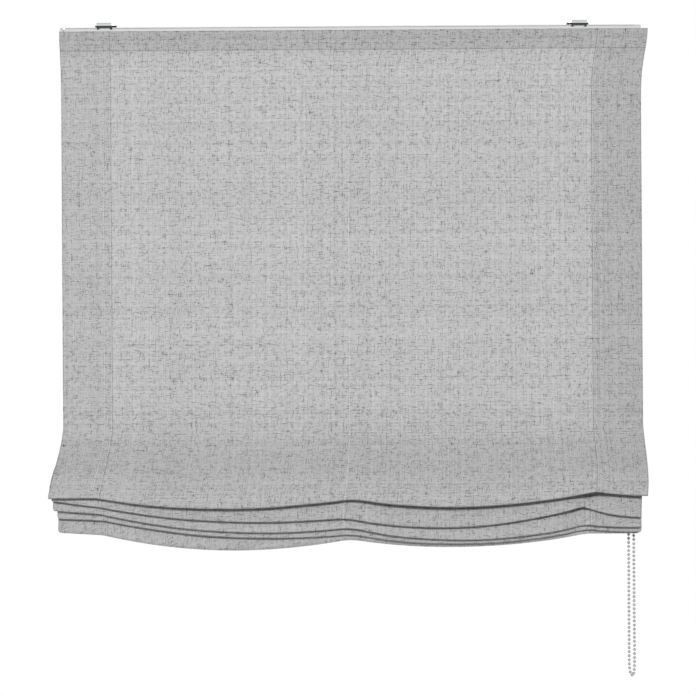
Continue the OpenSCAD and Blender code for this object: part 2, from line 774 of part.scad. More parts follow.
// Chain drive housing: end block, side walls beside the wheel and a bore for the brake
module drive_housing() {
    zone = wheel_w / 2 + wheel_room;
    wall_in = wheel_r + bead_d / 2 + chain_room;
    inside = rail_inner_top - rail_inner_bottom;
    color([0.84, 0.86, 0.85]) difference() {
        union() {
            rail_plug(housing_left, rail_right + bite, seat_gap);
            rail_end(rail_right, drive_block - cap_face, 0);
            rail_end(rail_right + drive_block / 2, drive_block / 2, -cap_face / 2);
        }
        translate([chain_x - zone, -wall_in, rail_inner_bottom - bite])
            cube([2 * zone, 2 * wall_in, inside + 2 * bite]);
        turned() translate([0, housing_left - bite])
            square([skirt_r + clear_gap, chain_x - zone - housing_left + 2 * bite]);
        turned() translate([0, chain_x])
            square([spindle_r + run_gap, rail_right + drive_block / 2 - chain_x]);
        translate([rail_right + drive_block - notch_depth, -rail_half / 2, rail_bottom - bite])
            cube([notch_depth + bite, rail_half, rail_height / 3]);
    }
}

// Steel spindle fixed in the housing, which the brake springs grip
module brake_spindle() {
    left = housing_left + lead_in;
    right = rail_right + drive_block / 2;
    color([0.62, 0.63, 0.65])
        turned() polygon([
            [0, left], [spindle_r - lead_in, left], [spindle_r, left + lead_in],
            [spindle_r, right], [0, right]
        ]);
}

// Two wrap springs around the spindle, turn beside turn
module brake_springs() {
    middle = spindle_r + spring_grip + spring_wire / 2;
    color([0.55, 0.56, 0.58])
        for (place = spring_places)
            turned() translate([middle, housing_left + place]) {
                for (turn = [0 : spring_turns - 1])
                    translate([0, turn * spring_pitch]) circle(spring_wire / 2);
                translate([-spring_wire / 3, 0])
                    square([2 / 3 * spring_wire, (spring_turns - 1) * spring_pitch]);
            }
}

// Chain wheel with a pocket for each bead, and a split skirt around the springs
module drive_sprocket() {
    left = chain_x - wheel_w / 2;
    right = chain_x + wheel_w / 2;
    skirt_left = housing_left + skirt_inset;
    color([0.9, 0.9, 0.89]) difference() {
        turned() union() {
            polygon([
                [spindle_r + run_gap, left], [wheel_rim_r - wheel_edge, left],
                [wheel_rim_r, left + wheel_edge], [wheel_rim_r, right - wheel_edge],
                [wheel_rim_r - wheel_edge, right], [spindle_r + run_gap, right]
            ]);
            translate([skirt_r - skirt_wall, skirt_left]) square([skirt_wall, left - skirt_left + bite]);
        }
        translate([chain_x, 0, axle_z]) {
            for (i = [0 : pockets - 1])
                rotate([i * 360 / pockets, 0, 0]) translate([0, wheel_r, 0]) sphere(bead_d / 2 + pocket_gap);
            rotate([0, 90, 0]) rotate_extrude() translate([wheel_r, 0]) circle(2 * chain_cord_r);
        }
        translate([skirt_left - bite, -skirt_slot_w / 2, axle_z])
            cube([skirt_slot_l, skirt_slot_w, skirt_r + bite]);
    }
}

// Coupling from the brake to the axle, with a tongue that the wheel's skirt drives
module output_coupling() {
    nose_r = skirt_r - skirt_wall - tongue_gap;
    color([0.8, 0.8, 0.79]) difference() {
        turned() union() {
            translate([0, coupling_left]) square([skirt_r, housing_left - coupling_left]);
            translate([nose_r - tongue_t, housing_left - bite]) square([tongue_t, tongue_l + bite]);
        }
        hex_bar(coupling_left - bite, axle_right + axle_end_gap, run_gap);
        translate([housing_left + skirt_inset, -skirt_r, axle_z - skirt_r - bite])
            cube([tongue_l, 2 * skirt_r, skirt_r - wheel_edge + bite]);
    }
}

// Length of the hanging chain up to each point of its route, and the point at a given length
function run_length(i) = i == 0 ? 0 : run_length(i - 1) + norm(chain_route[i] - chain_route[i - 1]);
chain_lengths = [for (i = [0 : len(chain_route) - 1]) run_length(i)];
chain_run = chain_lengths[len(chain_route) - 1];
chain_pitches = round(chain_run / bead_pitch);
function route_at(s, i = 0) =
    i >= len(chain_route) - 2 || s <= chain_lengths[i + 1] ?
        mix(chain_route[i], chain_route[i + 1],
            (s - chain_lengths[i]) / (chain_lengths[i + 1] - chain_lengths[i])) :
        route_at(s, i + 1);
function wheel_point(angle) = [chain_x, wheel_r * cos(angle), axle_z + wheel_r * sin(angle)];

// Beads along the hanging run and over the top of the wheel
module chain_beads() {
    on_wheel = pockets / 2 - 1;
    color([0.9, 0.9, 0.9]) {
        for (i = [0 : chain_pitches])
            translate(route_at(chain_run * i / chain_pitches)) sphere(bead_d / 2);
        for (i = [1 : on_wheel])
            translate(wheel_point(i * 360 / pockets)) sphere(bead_d / 2);
    }
}

// Thread through the beads, a closed tube
module chain_cord() {
    wheel_rings = 12;
    sides = 8;
    middle = concat(
        chain_route,
        [for (i = [1 : wheel_rings - 1]) wheel_point(180 * i / wheel_rings)]
    );
    n = len(middle);
    points = [
        for (i = [0 : n - 1])
            let (
                way = middle[(i + 1) % n] - middle[(i + n - 1) % n],
                out = cross(way, [1, 0, 0]) / norm(cross(way, [1, 0, 0])),
                across = cross(out, way) / norm(way)
            )
            each [for (j = [0 : sides - 1])
                let (angle = 360 * j / sides)
                middle[i] + chain_cord_r * (cos(angle) * out + sin(angle) * across)]
    ];
    faces = [
        for (i = [0 : n - 1], j = [0 : sides - 1], half = [0, 1])
            let (
                a = i * sides + j,
                b = i * sides + (j + 1) % sides,
                c = ((i + 1) % n) * sides + j,
                d = ((i + 1) % n) * sides + (j + 1) % sides
            )
            half == 0 ? [a, c, d] : [a, d, b]
    ];
    color([0.8, 0.8, 0.8]) polyhedron(points, faces, convexity = 4);
}

headrail();
hook_tape();
loop_tape();
bracket(-screw_spacing / 2);  // bracket_left
bracket(screw_spacing / 2);  // bracket_right
clip_latch(-screw_spacing / 2);  // clip_latch_left
clip_latch(screw_spacing / 2);  // clip_latch_right
end_cap_left();
drive_housing();
brake_spindle();
brake_springs();
drive_sprocket();
output_coupling();
drive_axle();
axle_journal();
cord_drum(0);  // cord_drum_left
cord_drum(1);  // cord_drum_centre
cord_drum(2);  // cord_drum_right
drum_cradle(0);  // drum_cradle_left
drum_cradle(1);  // drum_cradle_centre
drum_cradle(2);  // drum_cradle_right
cord_coil(0);  // cord_coil_left
cord_coil(1);  // cord_coil_centre
cord_coil(2);  // cord_coil_right
lift_cord(0);  // lift_cord_left
lift_cord(1);  // lift_cord_centre
lift_cord(2);  // lift_cord_right
cord_stop(0);  // cord_stop_left
cord_stop(1);  // cord_stop_centre
cord_stop(2);  // cord_stop_right
rings(0);  // rings_left
rings(1);  // rings_centre
rings(2);  // rings_right
lift_tape(0);  // lift_tape_left
lift_tape(1);  // lift_tape_centre
lift_tape(2);  // lift_tape_right
cloth();
chain_beads();
chain_cord();
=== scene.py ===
# %% [markdown]
# # A roman blind, drawn up into soft folds
# The blind is a sheet of linen that hangs from a slim rail and is drawn up by cords on its back.  A
# solid model already gives the rail, the clips, the drive and the lift gear, and this lesson dresses
# it.  The soft pieces could be draped by a cloth simulation.  They are worked out with numpy instead,
# because formulas put every fold where it hangs on the real blind and give the same result each time.
# Lengths are in millimetres until a mesh is made.

# %% Load the solid model
import json
import math

import bpy
import numpy as np
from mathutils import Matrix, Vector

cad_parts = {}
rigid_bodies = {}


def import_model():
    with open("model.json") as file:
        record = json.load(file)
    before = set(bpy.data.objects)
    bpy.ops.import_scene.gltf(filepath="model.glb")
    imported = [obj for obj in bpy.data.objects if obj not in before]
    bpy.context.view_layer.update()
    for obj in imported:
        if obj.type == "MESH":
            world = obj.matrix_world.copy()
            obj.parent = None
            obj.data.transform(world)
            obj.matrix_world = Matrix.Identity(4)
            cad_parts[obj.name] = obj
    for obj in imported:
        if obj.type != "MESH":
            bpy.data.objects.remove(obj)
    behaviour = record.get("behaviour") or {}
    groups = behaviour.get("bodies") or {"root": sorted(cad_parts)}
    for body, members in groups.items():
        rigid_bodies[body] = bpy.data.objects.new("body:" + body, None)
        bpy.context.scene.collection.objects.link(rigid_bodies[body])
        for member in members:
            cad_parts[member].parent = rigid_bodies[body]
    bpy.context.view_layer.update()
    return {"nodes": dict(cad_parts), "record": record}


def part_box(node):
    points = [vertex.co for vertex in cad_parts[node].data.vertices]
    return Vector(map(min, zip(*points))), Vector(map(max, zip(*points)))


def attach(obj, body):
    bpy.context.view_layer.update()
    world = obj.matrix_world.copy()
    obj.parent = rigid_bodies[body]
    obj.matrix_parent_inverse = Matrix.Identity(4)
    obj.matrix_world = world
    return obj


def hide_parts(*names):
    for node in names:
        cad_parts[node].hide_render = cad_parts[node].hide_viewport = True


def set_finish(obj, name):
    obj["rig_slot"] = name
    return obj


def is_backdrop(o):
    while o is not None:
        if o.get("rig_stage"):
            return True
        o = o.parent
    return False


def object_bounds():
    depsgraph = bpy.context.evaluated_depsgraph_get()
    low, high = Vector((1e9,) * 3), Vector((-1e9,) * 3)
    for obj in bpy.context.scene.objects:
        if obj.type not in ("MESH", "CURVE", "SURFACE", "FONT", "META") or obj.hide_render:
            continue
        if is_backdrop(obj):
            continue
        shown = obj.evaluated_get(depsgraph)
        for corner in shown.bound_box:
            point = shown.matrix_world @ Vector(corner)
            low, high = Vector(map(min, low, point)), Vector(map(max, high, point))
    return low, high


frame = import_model()
nodes = frame["nodes"]

# %% [markdown]
# ## Where things hang
# Three lift lines run down the back of the cloth, one at the inner edge of either side hem and one near
# the middle.  On each a cord hangs from a drum.  Their places could be typed in again.  They are read from
# the solid model instead, so that they are the same in both.

# %% Places taken from the solid model
MM = 0.001
SIDES = ("left", "centre", "right")


def box_mm(name):
    """Low and high corner of a node's box, in millimetres rounded to a hundredth."""
    return np.round(np.array(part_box(name)) / MM, 2)


cord_boxes = [box_mm("lift_cord_" + side) for side in SIDES]
LIFT = tuple(round(float(box[:, 0].mean()), 2) for box in cord_boxes)
CORD_Y = round(float(cord_boxes[0][:, 1].mean()), 2)
CORD_LOW, AXLE_Z = cord_boxes[0][:, 2].tolist()
CLOTH_TOP = -float(box_mm("cloth")[1, 2])
print("lift lines at", LIFT, "mm, axle at", AXLE_Z, "mm, cloth from", -CLOTH_TOP, "mm")

# %% [markdown]
# ## From a grid of points to a sheet
# Cloth, tapes and fastening strips are thin sheets with a front, a back and a rim.  A plane with a
# Solidify modifier would do for an even thickness.  Here the hems are thicker than the rest, so front
# and back are two grids of their own, and a strip of faces closes the rim between them.

# %% A new piece


def new_piece(name, points, faces, body, slot, uv=None):
    """Makes a smooth mesh object from points in millimetres, and lets it ride on a body."""
    mesh = bpy.data.meshes.new(name)
    faces = faces if isinstance(faces, list) else faces.tolist()
    mesh.from_pydata((points * MM).tolist(), [], faces)
    mesh.polygons.foreach_set("use_smooth", np.full(len(mesh.polygons), True))
    if uv is not None:
        layer = mesh.uv_layers.new(name="weave")
        corner = np.empty(len(mesh.loops), int)
        mesh.loops.foreach_get("vertex_index", corner)
        layer.data.foreach_set("uv", uv[corner].ravel())
    mesh.update()
    piece = bpy.data.objects.new(name, mesh)
    bpy.context.scene.collection.objects.link(piece)
    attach(piece, body)
    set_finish(piece, slot)
    print(f"{name}: {len(mesh.vertices)} points, {len(mesh.polygons)} faces")
    return piece


# %% Sheets


def grid_faces(rows, columns, start=0, flip=False):
    """Quads of a grid whose points are stored row after row: each joins four neighbours."""
    index = start + np.arange(rows * columns).reshape(rows, columns)
    quads = np.stack([index[:-1, :-1], index[1:, :-1], index[1:, 1:], index[:-1, 1:]], -1)
    quads = quads.reshape(-1, 4)
    return quads[:, ::-1] if flip else quads


def closed_sheet(front, back):
    """Points and quads of a thin closed body between a front and a back grid.

    The two grids are joined by a strip of quads along their shared outline.
    """
    rows, columns = front.shape[:2]
    count = rows * columns
    index = np.arange(count).reshape(rows, columns)
    rim = np.concatenate([index[0, :-1], index[:-1, -1], index[-1, :0:-1], index[:0:-1, 0]])
    after = np.roll(rim, -1)
    strip = np.stack([rim, after, after + count, rim + count], -1)
    points = np.concatenate([front.reshape(-1, 3), back.reshape(-1, 3)])
    faces = np.concatenate([grid_faces(rows, columns), grid_faces(rows, columns, count, True), strip])
    return points, faces


print("a grid of 2 by 3 points has", len(grid_faces(2, 3)), "quads")

# %% [markdown]
# ## From a line of points to a tube
# A cord is a circle carried along a line.  A curve object with a bevel makes one too.  A computed tube
# was chosen because its radius may change round the circle, which gives a twisted cord its strands.

# %% Tube tools


def unit(ways):
    """Directions brought to length 1."""
    return ways / np.linalg.norm(ways, axis=-1, keepdims=True)


def rings_round(out, across, sides):
    """For each place, points of a unit circle: cosine times one direction plus sine times the other."""
    angle = 2 * np.pi * np.arange(sides) / sides
    return np.cos(angle)[None, :, None] * out[:, None] + np.sin(angle)[None, :, None] * across[:, None]


def tube(line, radius, sides):
    """Points and quads of an open tube: a circle carried along a line, across its direction.

    The radius may change from ring to ring and from side to side.
    """
    way = unit(np.gradient(line, axis=0))
    out = unit(np.cross(way, (1.0, 0.0, 0.0)))
    radius = np.broadcast_to(radius, (len(line), sides))[..., None]
    points = line[:, None] + radius * rings_round(out, np.cross(out, way), sides)
    index = np.arange(len(line) * sides).reshape(len(line), sides)
    beside = np.roll(index, -1, axis=1)
    faces = np.stack([index[:-1], index[1:], beside[1:], beside[:-1]], -1)
    return points.reshape(-1, 3), faces.reshape(-1, 4)


def join(parts):
    """One list of points and faces out of several."""
    points, faces, start = [], [], 0
    for part_points, part_faces in parts:
        points.append(part_points)
        faces += (part_faces + start).tolist()
        start += len(part_points)
    return np.concatenate(points), faces


print("a tube of 3 rings and 8 sides has", len(tube(np.eye(3), 0.1, 8)[1]), "quads")

# %% [markdown]
# ## The lower edges of the folds
# On the real blind a fold hangs lowest midway between two lift lines, where nothing holds it up, and
# rises to a soft peak near each line.  A simulation could find such edges, but hardly these very ones.
# So seven drops below the ceiling describe each fold: at the left end, left line, left swag, middle
# line, right swag, right line and right end.  Parabolas join them, as in a hanging cloth.

# %% Drops of the edges
CLOTH_LEFT, CLOTH_RIGHT = -412.0, 438.0
FOLD_EDGE = (
    (690, 690, 706, 693, 705, 685, 691),
    (695, 704, 725, 722, 735, 708, 723),
    (710, 715, 741, 737, 755, 735, 739),
    (723, 726, 750, 748, 762, 743, 747),
    (744, 748, 771, 756, 768, 750, 750),
)


def by_zone(x, left, first, second, right):
    """Picks a value by place: left of the first lift line, in either swag, or right of the last."""
    return np.select([x < LIFT[0], x < LIFT[1], x < LIFT[2]], [left, first, second], right)


def shares(x):
    """Share of the way across the left end, the two swags and the right end."""
    return (
        (LIFT[0] - x) / (LIFT[0] - CLOTH_LEFT),
        (x - LIFT[0]) / (LIFT[1] - LIFT[0]),
        (x - LIFT[1]) / (LIFT[2] - LIFT[1]),
        (x - LIFT[2]) / (CLOTH_RIGHT - LIFT[2]),
    )


def arch(t):
    """Parabola that is 0 at t 0 and t 1, and 1 half way."""
    return 4 * t * (1 - t)


def swag(row, i):
    """How much lower swag i hangs than a straight line between its ends."""
    return row[2 * i + 2] - (row[2 * i + 1] + row[2 * i + 3]) / 2


front_swags = [swag(FOLD_EDGE[0], i) for i in (0, 1)]
print("cloth width", CLOTH_RIGHT - CLOTH_LEFT, "mm, front fold's swags", front_swags, "mm")

# %% [markdown]
# Cloth has no sharp peaks, and its corners are a little round.  Rounding could be left to a Subdivision
# Surface modifier, which would round everything alike.  An average over a short reach was chosen,
# because the reach can be wider at the middle line, where the real peaks are broader.

# %% Soft edges
PEAK_SHIFT = (8.0, 17.0, 10.0, 10.0, 10.0)  # right peak, to the left of its lift line
MIDDLE_SHIFT = (13.0, 4.0, 10.0, 8.0, 6.0)  # middle peak, to the right of its lift line
MIDDLE_WIDTH = 60.0
SOFT_REACH, MIDDLE_REACH = 4.0, 10.0
SOFT_SAMPLES = np.linspace(-1, 1, 7)
CORNER_R = (0.6, 1.5, 3.0, 3.0, 4.5)


def bell(distance, width):
    """Bell curve: 1 at distance 0, about a third at the width and nearly 0 at twice the width."""
    return np.exp(-((distance / width) ** 2))


def edge_rule(k, x):
    """Drop of fold k's lower edge: an arch in each swag and a slope at each end.

    At the right the fold is drawn up highest a little left of the lift line.
    """
    row, peak = FOLD_EDGE[k], LIFT[2] - PEAK_SHIFT[k]
    a, b, _, _ = shares(x)
    c, d = (x - LIFT[1]) / (peak - LIFT[1]), (x - peak) / (CLOTH_RIGHT - peak)
    return np.select(
        [x < LIFT[0], x < LIFT[1], x < peak],
        [
            row[1] + (row[0] - row[1]) * a,
            row[1] + (row[3] - row[1]) * b + swag(row, 0) * arch(b),
            row[3] + (row[5] - row[3]) * c + swag(row, 1) * arch(c),
        ],
        row[5] + (row[6] - row[5]) * d * (2 - d),
    )


def edge_drop(k, x):
    """The rule's drop, averaged over a reach to either side, with outer corners rounded as arcs.

    Around the middle line the reach is wider, and the peak lies a little to the right of the line.
    """
    near = bell(x - LIFT[1], MIDDLE_WIDTH)
    aim, reach = x - MIDDLE_SHIFT[k] * near, SOFT_REACH + MIDDLE_REACH * near
    around = np.clip(aim + SOFT_SAMPLES[:, None] * reach, CLOTH_LEFT, CLOTH_RIGHT)
    r = CORNER_R[k]
    inset = np.clip(np.minimum(x - CLOTH_LEFT, CLOTH_RIGHT - x), 0, r)
    return edge_rule(k, around).mean(axis=0) - r + np.sqrt(r * r - (r - inset) ** 2)


on_lines = np.array(LIFT)
print("front edge on the lift lines", edge_drop(0, on_lines).round(1), "mm down")

# %% [markdown]
# ## Crests and rings
# Behind every fold the cloth goes over a crest, and all rings but the first sit where a crest meets a
# lift line.  On the lines the cords draw the crests back to the cloth's plane, and between them they come
# forward and sag.  This could be sculpted by hand.  Here a crest sags by a share of what its lower edge
# sags, which is simple and looks natural.  It doesn't keep the length down the sheet the same everywhere,
# as real cloth would, and the spread is printed when the sheet is made.

# %% Crest helpers
PANEL_Y = -18.2
RING_DROP, FIRST_STEP, RING_STEP = 592.0, 42.0, 11.0
CREST_R, CREST_FORWARD, CREST_SAG, RING_SAG = 2.5, 5.0, 0.7, 0.25
END_FREEDOM = 0.4


def edge_sag(k, x):
    """How much fold k sags between the lift lines: an arch in each swag and 0 at the ends."""
    _, b, c, _ = shares(x)
    row = FOLD_EDGE[k]
    return by_zone(x, 0, swag(row, 0) * arch(b), swag(row, 1) * arch(c), 0)


def freedom(x):
    """0 on a lift line, an arch up to 1 in a swag, and a slope up to 0.4 at the free side edges."""
    a, b, c, d = shares(x)
    return by_zone(x, END_FREEDOM * a, arch(b), arch(c), END_FREEDOM * d)


def crest_drop(k, x):
    """Drop of the crest behind fold k, counted from 1: even steps plus a share of the fold's sag."""
    return RING_DROP + FIRST_STEP + RING_STEP * (k - 1) + CREST_SAG * edge_sag(k, x)


def crest_y(x):
    """Depth of the crests' centres: further forward the freer the cloth is."""
    return PANEL_Y - CREST_R - CREST_FORWARD * freedom(x)


def ring_line(x):
    """Drop of the line where the flat cloth ends and the front fold starts."""
    return RING_DROP + RING_SAG * edge_sag(0, x)


print("crests on the lift lines", [float(crest_drop(k, on_lines)[0]) for k in range(1, 5)], "mm down")

# %% [markdown]
# ## The section of the folds
# Seen from the end, the flat cloth swells out into the front fold, turns under and climbs back to a
# crest.  Three less deep folds follow, and a loose flap ends the sheet.  One drawn profile could be
# extruded along the rail, but real folds lean, sag and deepen from place to place.  So the corners of
# the profile are functions of the place along the rail, and cubic curves join them.

# %% Feet and crests
FOLD_DEPTH, FOLD_R = (78.0, 62.0, 50.5, 39.0), (3.0, 2.5, 2.5, 2.5)
FLAP_DEPTH = 27.0
PINCH = (6.0, 2.0, 2.0, 2.0)
LEAN_LEFT, LEAN_RIGHT = (8.0, 6.0, 6.0, 2.0, 3.0), (8.0, 15.0, 13.0, 10.5, 11.5)
CREST_LEAN = 0.3
HOLLOW_AT, HOLLOW_WIDTH = (363.0, 362.0, 348.0, 348.0, 348.0), 17.0
HOLLOW_DEPTH = (-5.0, 8.0, 8.5, 5.5, 3.0)
UP = np.array([0.0, 0.0, 1.0])


def corner(aside, y, z):
    """Points (aside, y, z) for all stations, with room for samples along the line."""
    return np.stack(np.broadcast_arrays(aside, y, z), -1)[:, None, :].astype(float)


def lean(k, x):
    """Sideways shift of fold k, straight from its value at the left edge to that at the right."""
    share = (x - CLOTH_LEFT) / (CLOTH_RIGHT - CLOTH_LEFT)
    return -(LEAN_LEFT[k] + (LEAN_RIGHT[k] - LEAN_LEFT[k]) * share)


def hollow(k, x):
    """How far fold k is drawn back beside the right lift line, as a bell, or forward if negative."""
    return HOLLOW_DEPTH[k] * bell(x - HOLLOW_AT[k], HOLLOW_WIDTH)


def fold_foot(k, x):
    """Where fold k's front leg meets its lower turn: its depth less the pinch and the hollow."""
    depth = FOLD_DEPTH[k] - PINCH[k] * (1 - freedom(x)) - hollow(k, x)
    return corner(lean(k, x), PANEL_Y - depth, FOLD_R[k] - edge_drop(k, x))


def crest_centre(k, x):
    """Centre of the crest behind fold k, counted from 1, which leans less than the fold."""
    return corner(CREST_LEAN * lean(k, x), crest_y(x), -crest_drop(k, x))


print("front fold's feet on the lift lines, y", fold_foot(0, on_lines)[:, 0, 1].round(1), "mm")

# %% [markdown]
# The legs of a fold aren't straight: a leg leaves its crest forwards and comes down upright, and the
# front of the first fold swells slowly.  Polylines with a Bevel would look stiff.  Cubic curves were
# chosen, with half circles for the turns, because they need only four points each.

# %% Legs
LEG_FORWARD = 0.3
UPRIGHT, HOLLOW_UPRIGHT, HOLLOW_SPREAD = 0.4, 0.26, 1.6
SWELL_START, SWELL_END = np.array([0, 0.12, 0.333]), np.array([0.4, 0.9, 0.667])


def steps(count):
    """Even shares from 0 up to, but not with, 1."""
    return np.arange(count) / count


def cubic(a, b, c, d, t):
    """Cubic curve on four control points: weights 1, 3, 3 and 1 times powers of t and 1 - t."""
    t = t[None, :, None]
    return (1 - t) ** 3 * a + 3 * (1 - t) ** 2 * t * b + 3 * (1 - t) * t**2 * c + t**3 * d


def front_leg(top, foot, t):
    """The front fold's swell: a cubic whose inner control points are shares of the way to the foot."""
    way = foot - top
    return cubic(top, top + SWELL_START * way, top + SWELL_END * way, foot, t)


def fold_leg(x, top, foot, t):
    """A leg: forwards out of its crest for a share of the way, then down upright into its foot.

    The upright share is less beside the hollow, as a bell, so that the legs lean back there.
    """
    upright = UPRIGHT - HOLLOW_UPRIGHT * bell(x - HOLLOW_AT[2], HOLLOW_SPREAD * HOLLOW_WIDTH)
    forward, rise = np.zeros_like(top), np.zeros_like(top)
    forward[..., 1] = LEG_FORWARD * (foot - top)[..., 1]
    rise[..., 2] = upright[:, None] * (top - foot)[..., 2]
    return cubic(top, top + forward, foot + rise, foot, t)


print("upright share of a leg", UPRIGHT, "and in the hollow", round(UPRIGHT - HOLLOW_UPRIGHT, 2))

# %% Turns


def lower_turn(foot, r, count):
    """Half circle of radius r under a fold, from the front leg's foot to the rear leg's."""
    turn = np.pi * steps(count)[None, :, None]
    return foot + r * np.concatenate([0 * turn, 1 - np.cos(turn), -np.sin(turn)], -1)


def crest_turn(centre, count):
    """Half circle round the back of a crest, from its top to its underside."""
    turn = np.pi * steps(count)[None, :, None]
    return centre + CREST_R * np.concatenate([0 * turn, np.sin(turn), np.cos(turn)], -1)


print("a crest's half circle is", round(math.pi * CREST_R, 2), "mm long")

# %% [markdown]
# Now the pieces of the section are strung together, from the top edge to the bottom hem.  They could be
# separate meshes that touch.  One unbroken line was chosen, because the cloth is one sheet and its
# weave has to run on through all folds.

# %% One line down the cloth
TOP_HEM = 30.0
HEM_ROWS = np.array([0, 1, 7, 14, 21, 26.5, 27.6, 28.1, 28.5, 28.9, 29.4, TOP_HEM, TOP_HEM + 1.5])
PANEL_FROM, PANEL_TO, PANEL_ROWS = 50.0, 578.0, 78
FRONT_ROWS, LEG_ROWS, TURN_ROWS, CREST_ROWS, FLAP_ROWS = 22, 11, 8, 5, 16
LAST = len(FOLD_DEPTH)


def panel_line(x):
    """The flat panel: rows at given drops, stretched a little to end on the sagging ring line."""
    drops = np.concatenate([CLOTH_TOP + HEM_ROWS, np.linspace(PANEL_FROM, PANEL_TO, PANEL_ROWS)])
    share = (ring_line(x)[:, None] - CLOTH_TOP) / (RING_DROP - CLOTH_TOP)
    z = -(CLOTH_TOP + (drops - CLOTH_TOP)[None, :] * share)
    return np.stack([0 * z, 0 * z + PANEL_Y, z], -1)


def middle_line(x):
    """Middle of the cloth at stations x as (lean, y, z): panel, four folds with crests, and flap."""
    parts = [panel_line(x)]
    for k, r in enumerate(FOLD_R):
        foot = fold_foot(k, x)
        if k == 0:
            top = corner(0 * x, 0 * x + PANEL_Y, -ring_line(x))
            parts.append(front_leg(top, foot, steps(FRONT_ROWS)))
        else:
            parts.append(fold_leg(x, crest_centre(k, x) - CREST_R * UP, foot, steps(LEG_ROWS)))
        rear_foot, centre = foot + np.array([0, 2 * r, 0]), crest_centre(k + 1, x)
        parts += [
            lower_turn(foot, r, TURN_ROWS),
            fold_leg(x, centre + CREST_R * UP, rear_foot, 1 - steps(LEG_ROWS)),
            crest_turn(centre, CREST_ROWS),
        ]
    hem = corner(lean(LAST, x), PANEL_Y - FLAP_DEPTH + hollow(LAST, x), -edge_drop(LAST, x))
    top = crest_centre(LAST, x) - CREST_R * UP
    parts.append(fold_leg(x, top, hem, np.linspace(0, 1, FLAP_ROWS)))
    return np.concatenate(parts, axis=1)


def run_of(line):
    """Length along the cloth from the line's start to every sample: the sum of the steps."""
    step = np.linalg.norm(np.diff(line, axis=1), axis=-1)
    return np.concatenate([np.zeros((len(line), 1)), np.cumsum(step, axis=1)], axis=1)


print("cloth length on the lift lines", run_of(middle_line(on_lines))[:, -1].round(), "mm")

# %% [markdown]
# ## From the section to points in space
# The line is the middle of the cloth, and its two faces lie a little in front and behind.  The upper
# edge is fastened to the rail slightly pulled to one side, and the pull fades out further down.  A
# Lattice could bend the finished mesh that way.  Adding it here keeps stitches and tapes in step.

# %% Points before and behind the line
TOP_STRETCH, TOP_SHIFT, TOP_FADE = 0.015, 4.0, 48.0
CLOTH_MIDDLE = (CLOTH_LEFT + CLOTH_RIGHT) / 2


def back_way(line):
    """Unit direction out of the back of the cloth: the line's own direction turned in the YZ plane."""
    step = np.gradient(line, axis=1)
    return unit(np.stack([0 * step[..., 0], -step[..., 2], step[..., 1]], -1))


def top_pull(x, drop):
    """Sideways pull of the fastened upper edge, which fades out down the cloth as a bell."""
    return bell(drop - CLOTH_TOP, TOP_FADE) * (TOP_SHIFT + TOP_STRETCH * (x - CLOTH_MIDDLE))


def place(x, line, away):
    """Turns (lean, y, z) at stations x into points, away millimetres behind the middle line."""
    points = line + np.asarray(away)[..., None] * back_way(line)
    points[..., 0] = x[:, None] + line[..., 0] + top_pull(x[:, None], -line[..., 2])
    return points


print("pull of the top edge on the lift lines", top_pull(on_lines, CLOTH_TOP).round(1), "mm")

# %% [markdown]
# ## The unevenness of real cloth
# Linen never hangs like a plate.  It has slow waves, and every seam draws it into a groove with small
# puckers beside it.  A Displace modifier with a texture could add that.  A formula was chosen, because
# the stitches and tapes then follow the very same waves.

# %% Ripples
SEAM_BESIDE = 5.0
SEAMS = tuple(LIFT[i] + beside * SEAM_BESIDE for i, beside in ((0, -1), (0, 1), (1, 0), (2, -1), (2, 1)))
HEM_SEAM = 28.5
BROAD, BROAD_X, BROAD_DRIFT, BROAD_RUN, BROAD_START = 0.3, 61.0, 173.0, 97.0, 1.3
NARROW, NARROW_X, NARROW_DRIFT = 0.21, 23.0, 240.0
PUCKER, PUCKER_WIDTH, PUCKER_RUN, PUCKER_DRIFT, PUCKER_SLANT = 0.2, 6.0, 4.1, 37.0, 0.05
GROOVE, SEAM_WIDTH, HEM_SEAM_WIDTH = 0.42, 0.8, 0.6
CALM_TOP = 90.0


def ripples(x, run):
    """Unevenness in millimetres, positive to the back.

    A broad and a narrow sine wave and puckers beside the tape seams, which all grow from nothing at
    the top edge, plus a narrow groove of bell section along every seam.
    """
    broad = np.sin(x / BROAD_X + run / BROAD_DRIFT) * np.sin(run / BROAD_RUN + BROAD_START)
    narrow = np.sin(x / NARROW_X - run / NARROW_DRIFT)
    beside = sum(bell(x - seam, PUCKER_WIDTH) for seam in SEAMS if seam != LIFT[1])
    pucker = beside * np.sin(run / PUCKER_RUN + 2 * np.sin(run / PUCKER_DRIFT) + PUCKER_SLANT * x)
    groove = sum(bell(x - seam, SEAM_WIDTH) for seam in SEAMS) + bell(run - HEM_SEAM, HEM_SEAM_WIDTH)
    grown = np.clip(run / CALM_TOP, 0, 1)
    return (BROAD * broad + NARROW * narrow + PUCKER * pucker) * grown + GROOVE * groove


print("seams at", SEAMS, "mm")

# %% [markdown]
# ## The cloth
# The blind's one sheet, with side hems as wide as the way from the edge to the tape.  A hem is thicker
# at the back, because the cloth is turned over there.  An even grid would need very many points to show
# the grooves, so the columns are chosen: close at seams and corners and wide apart between them.

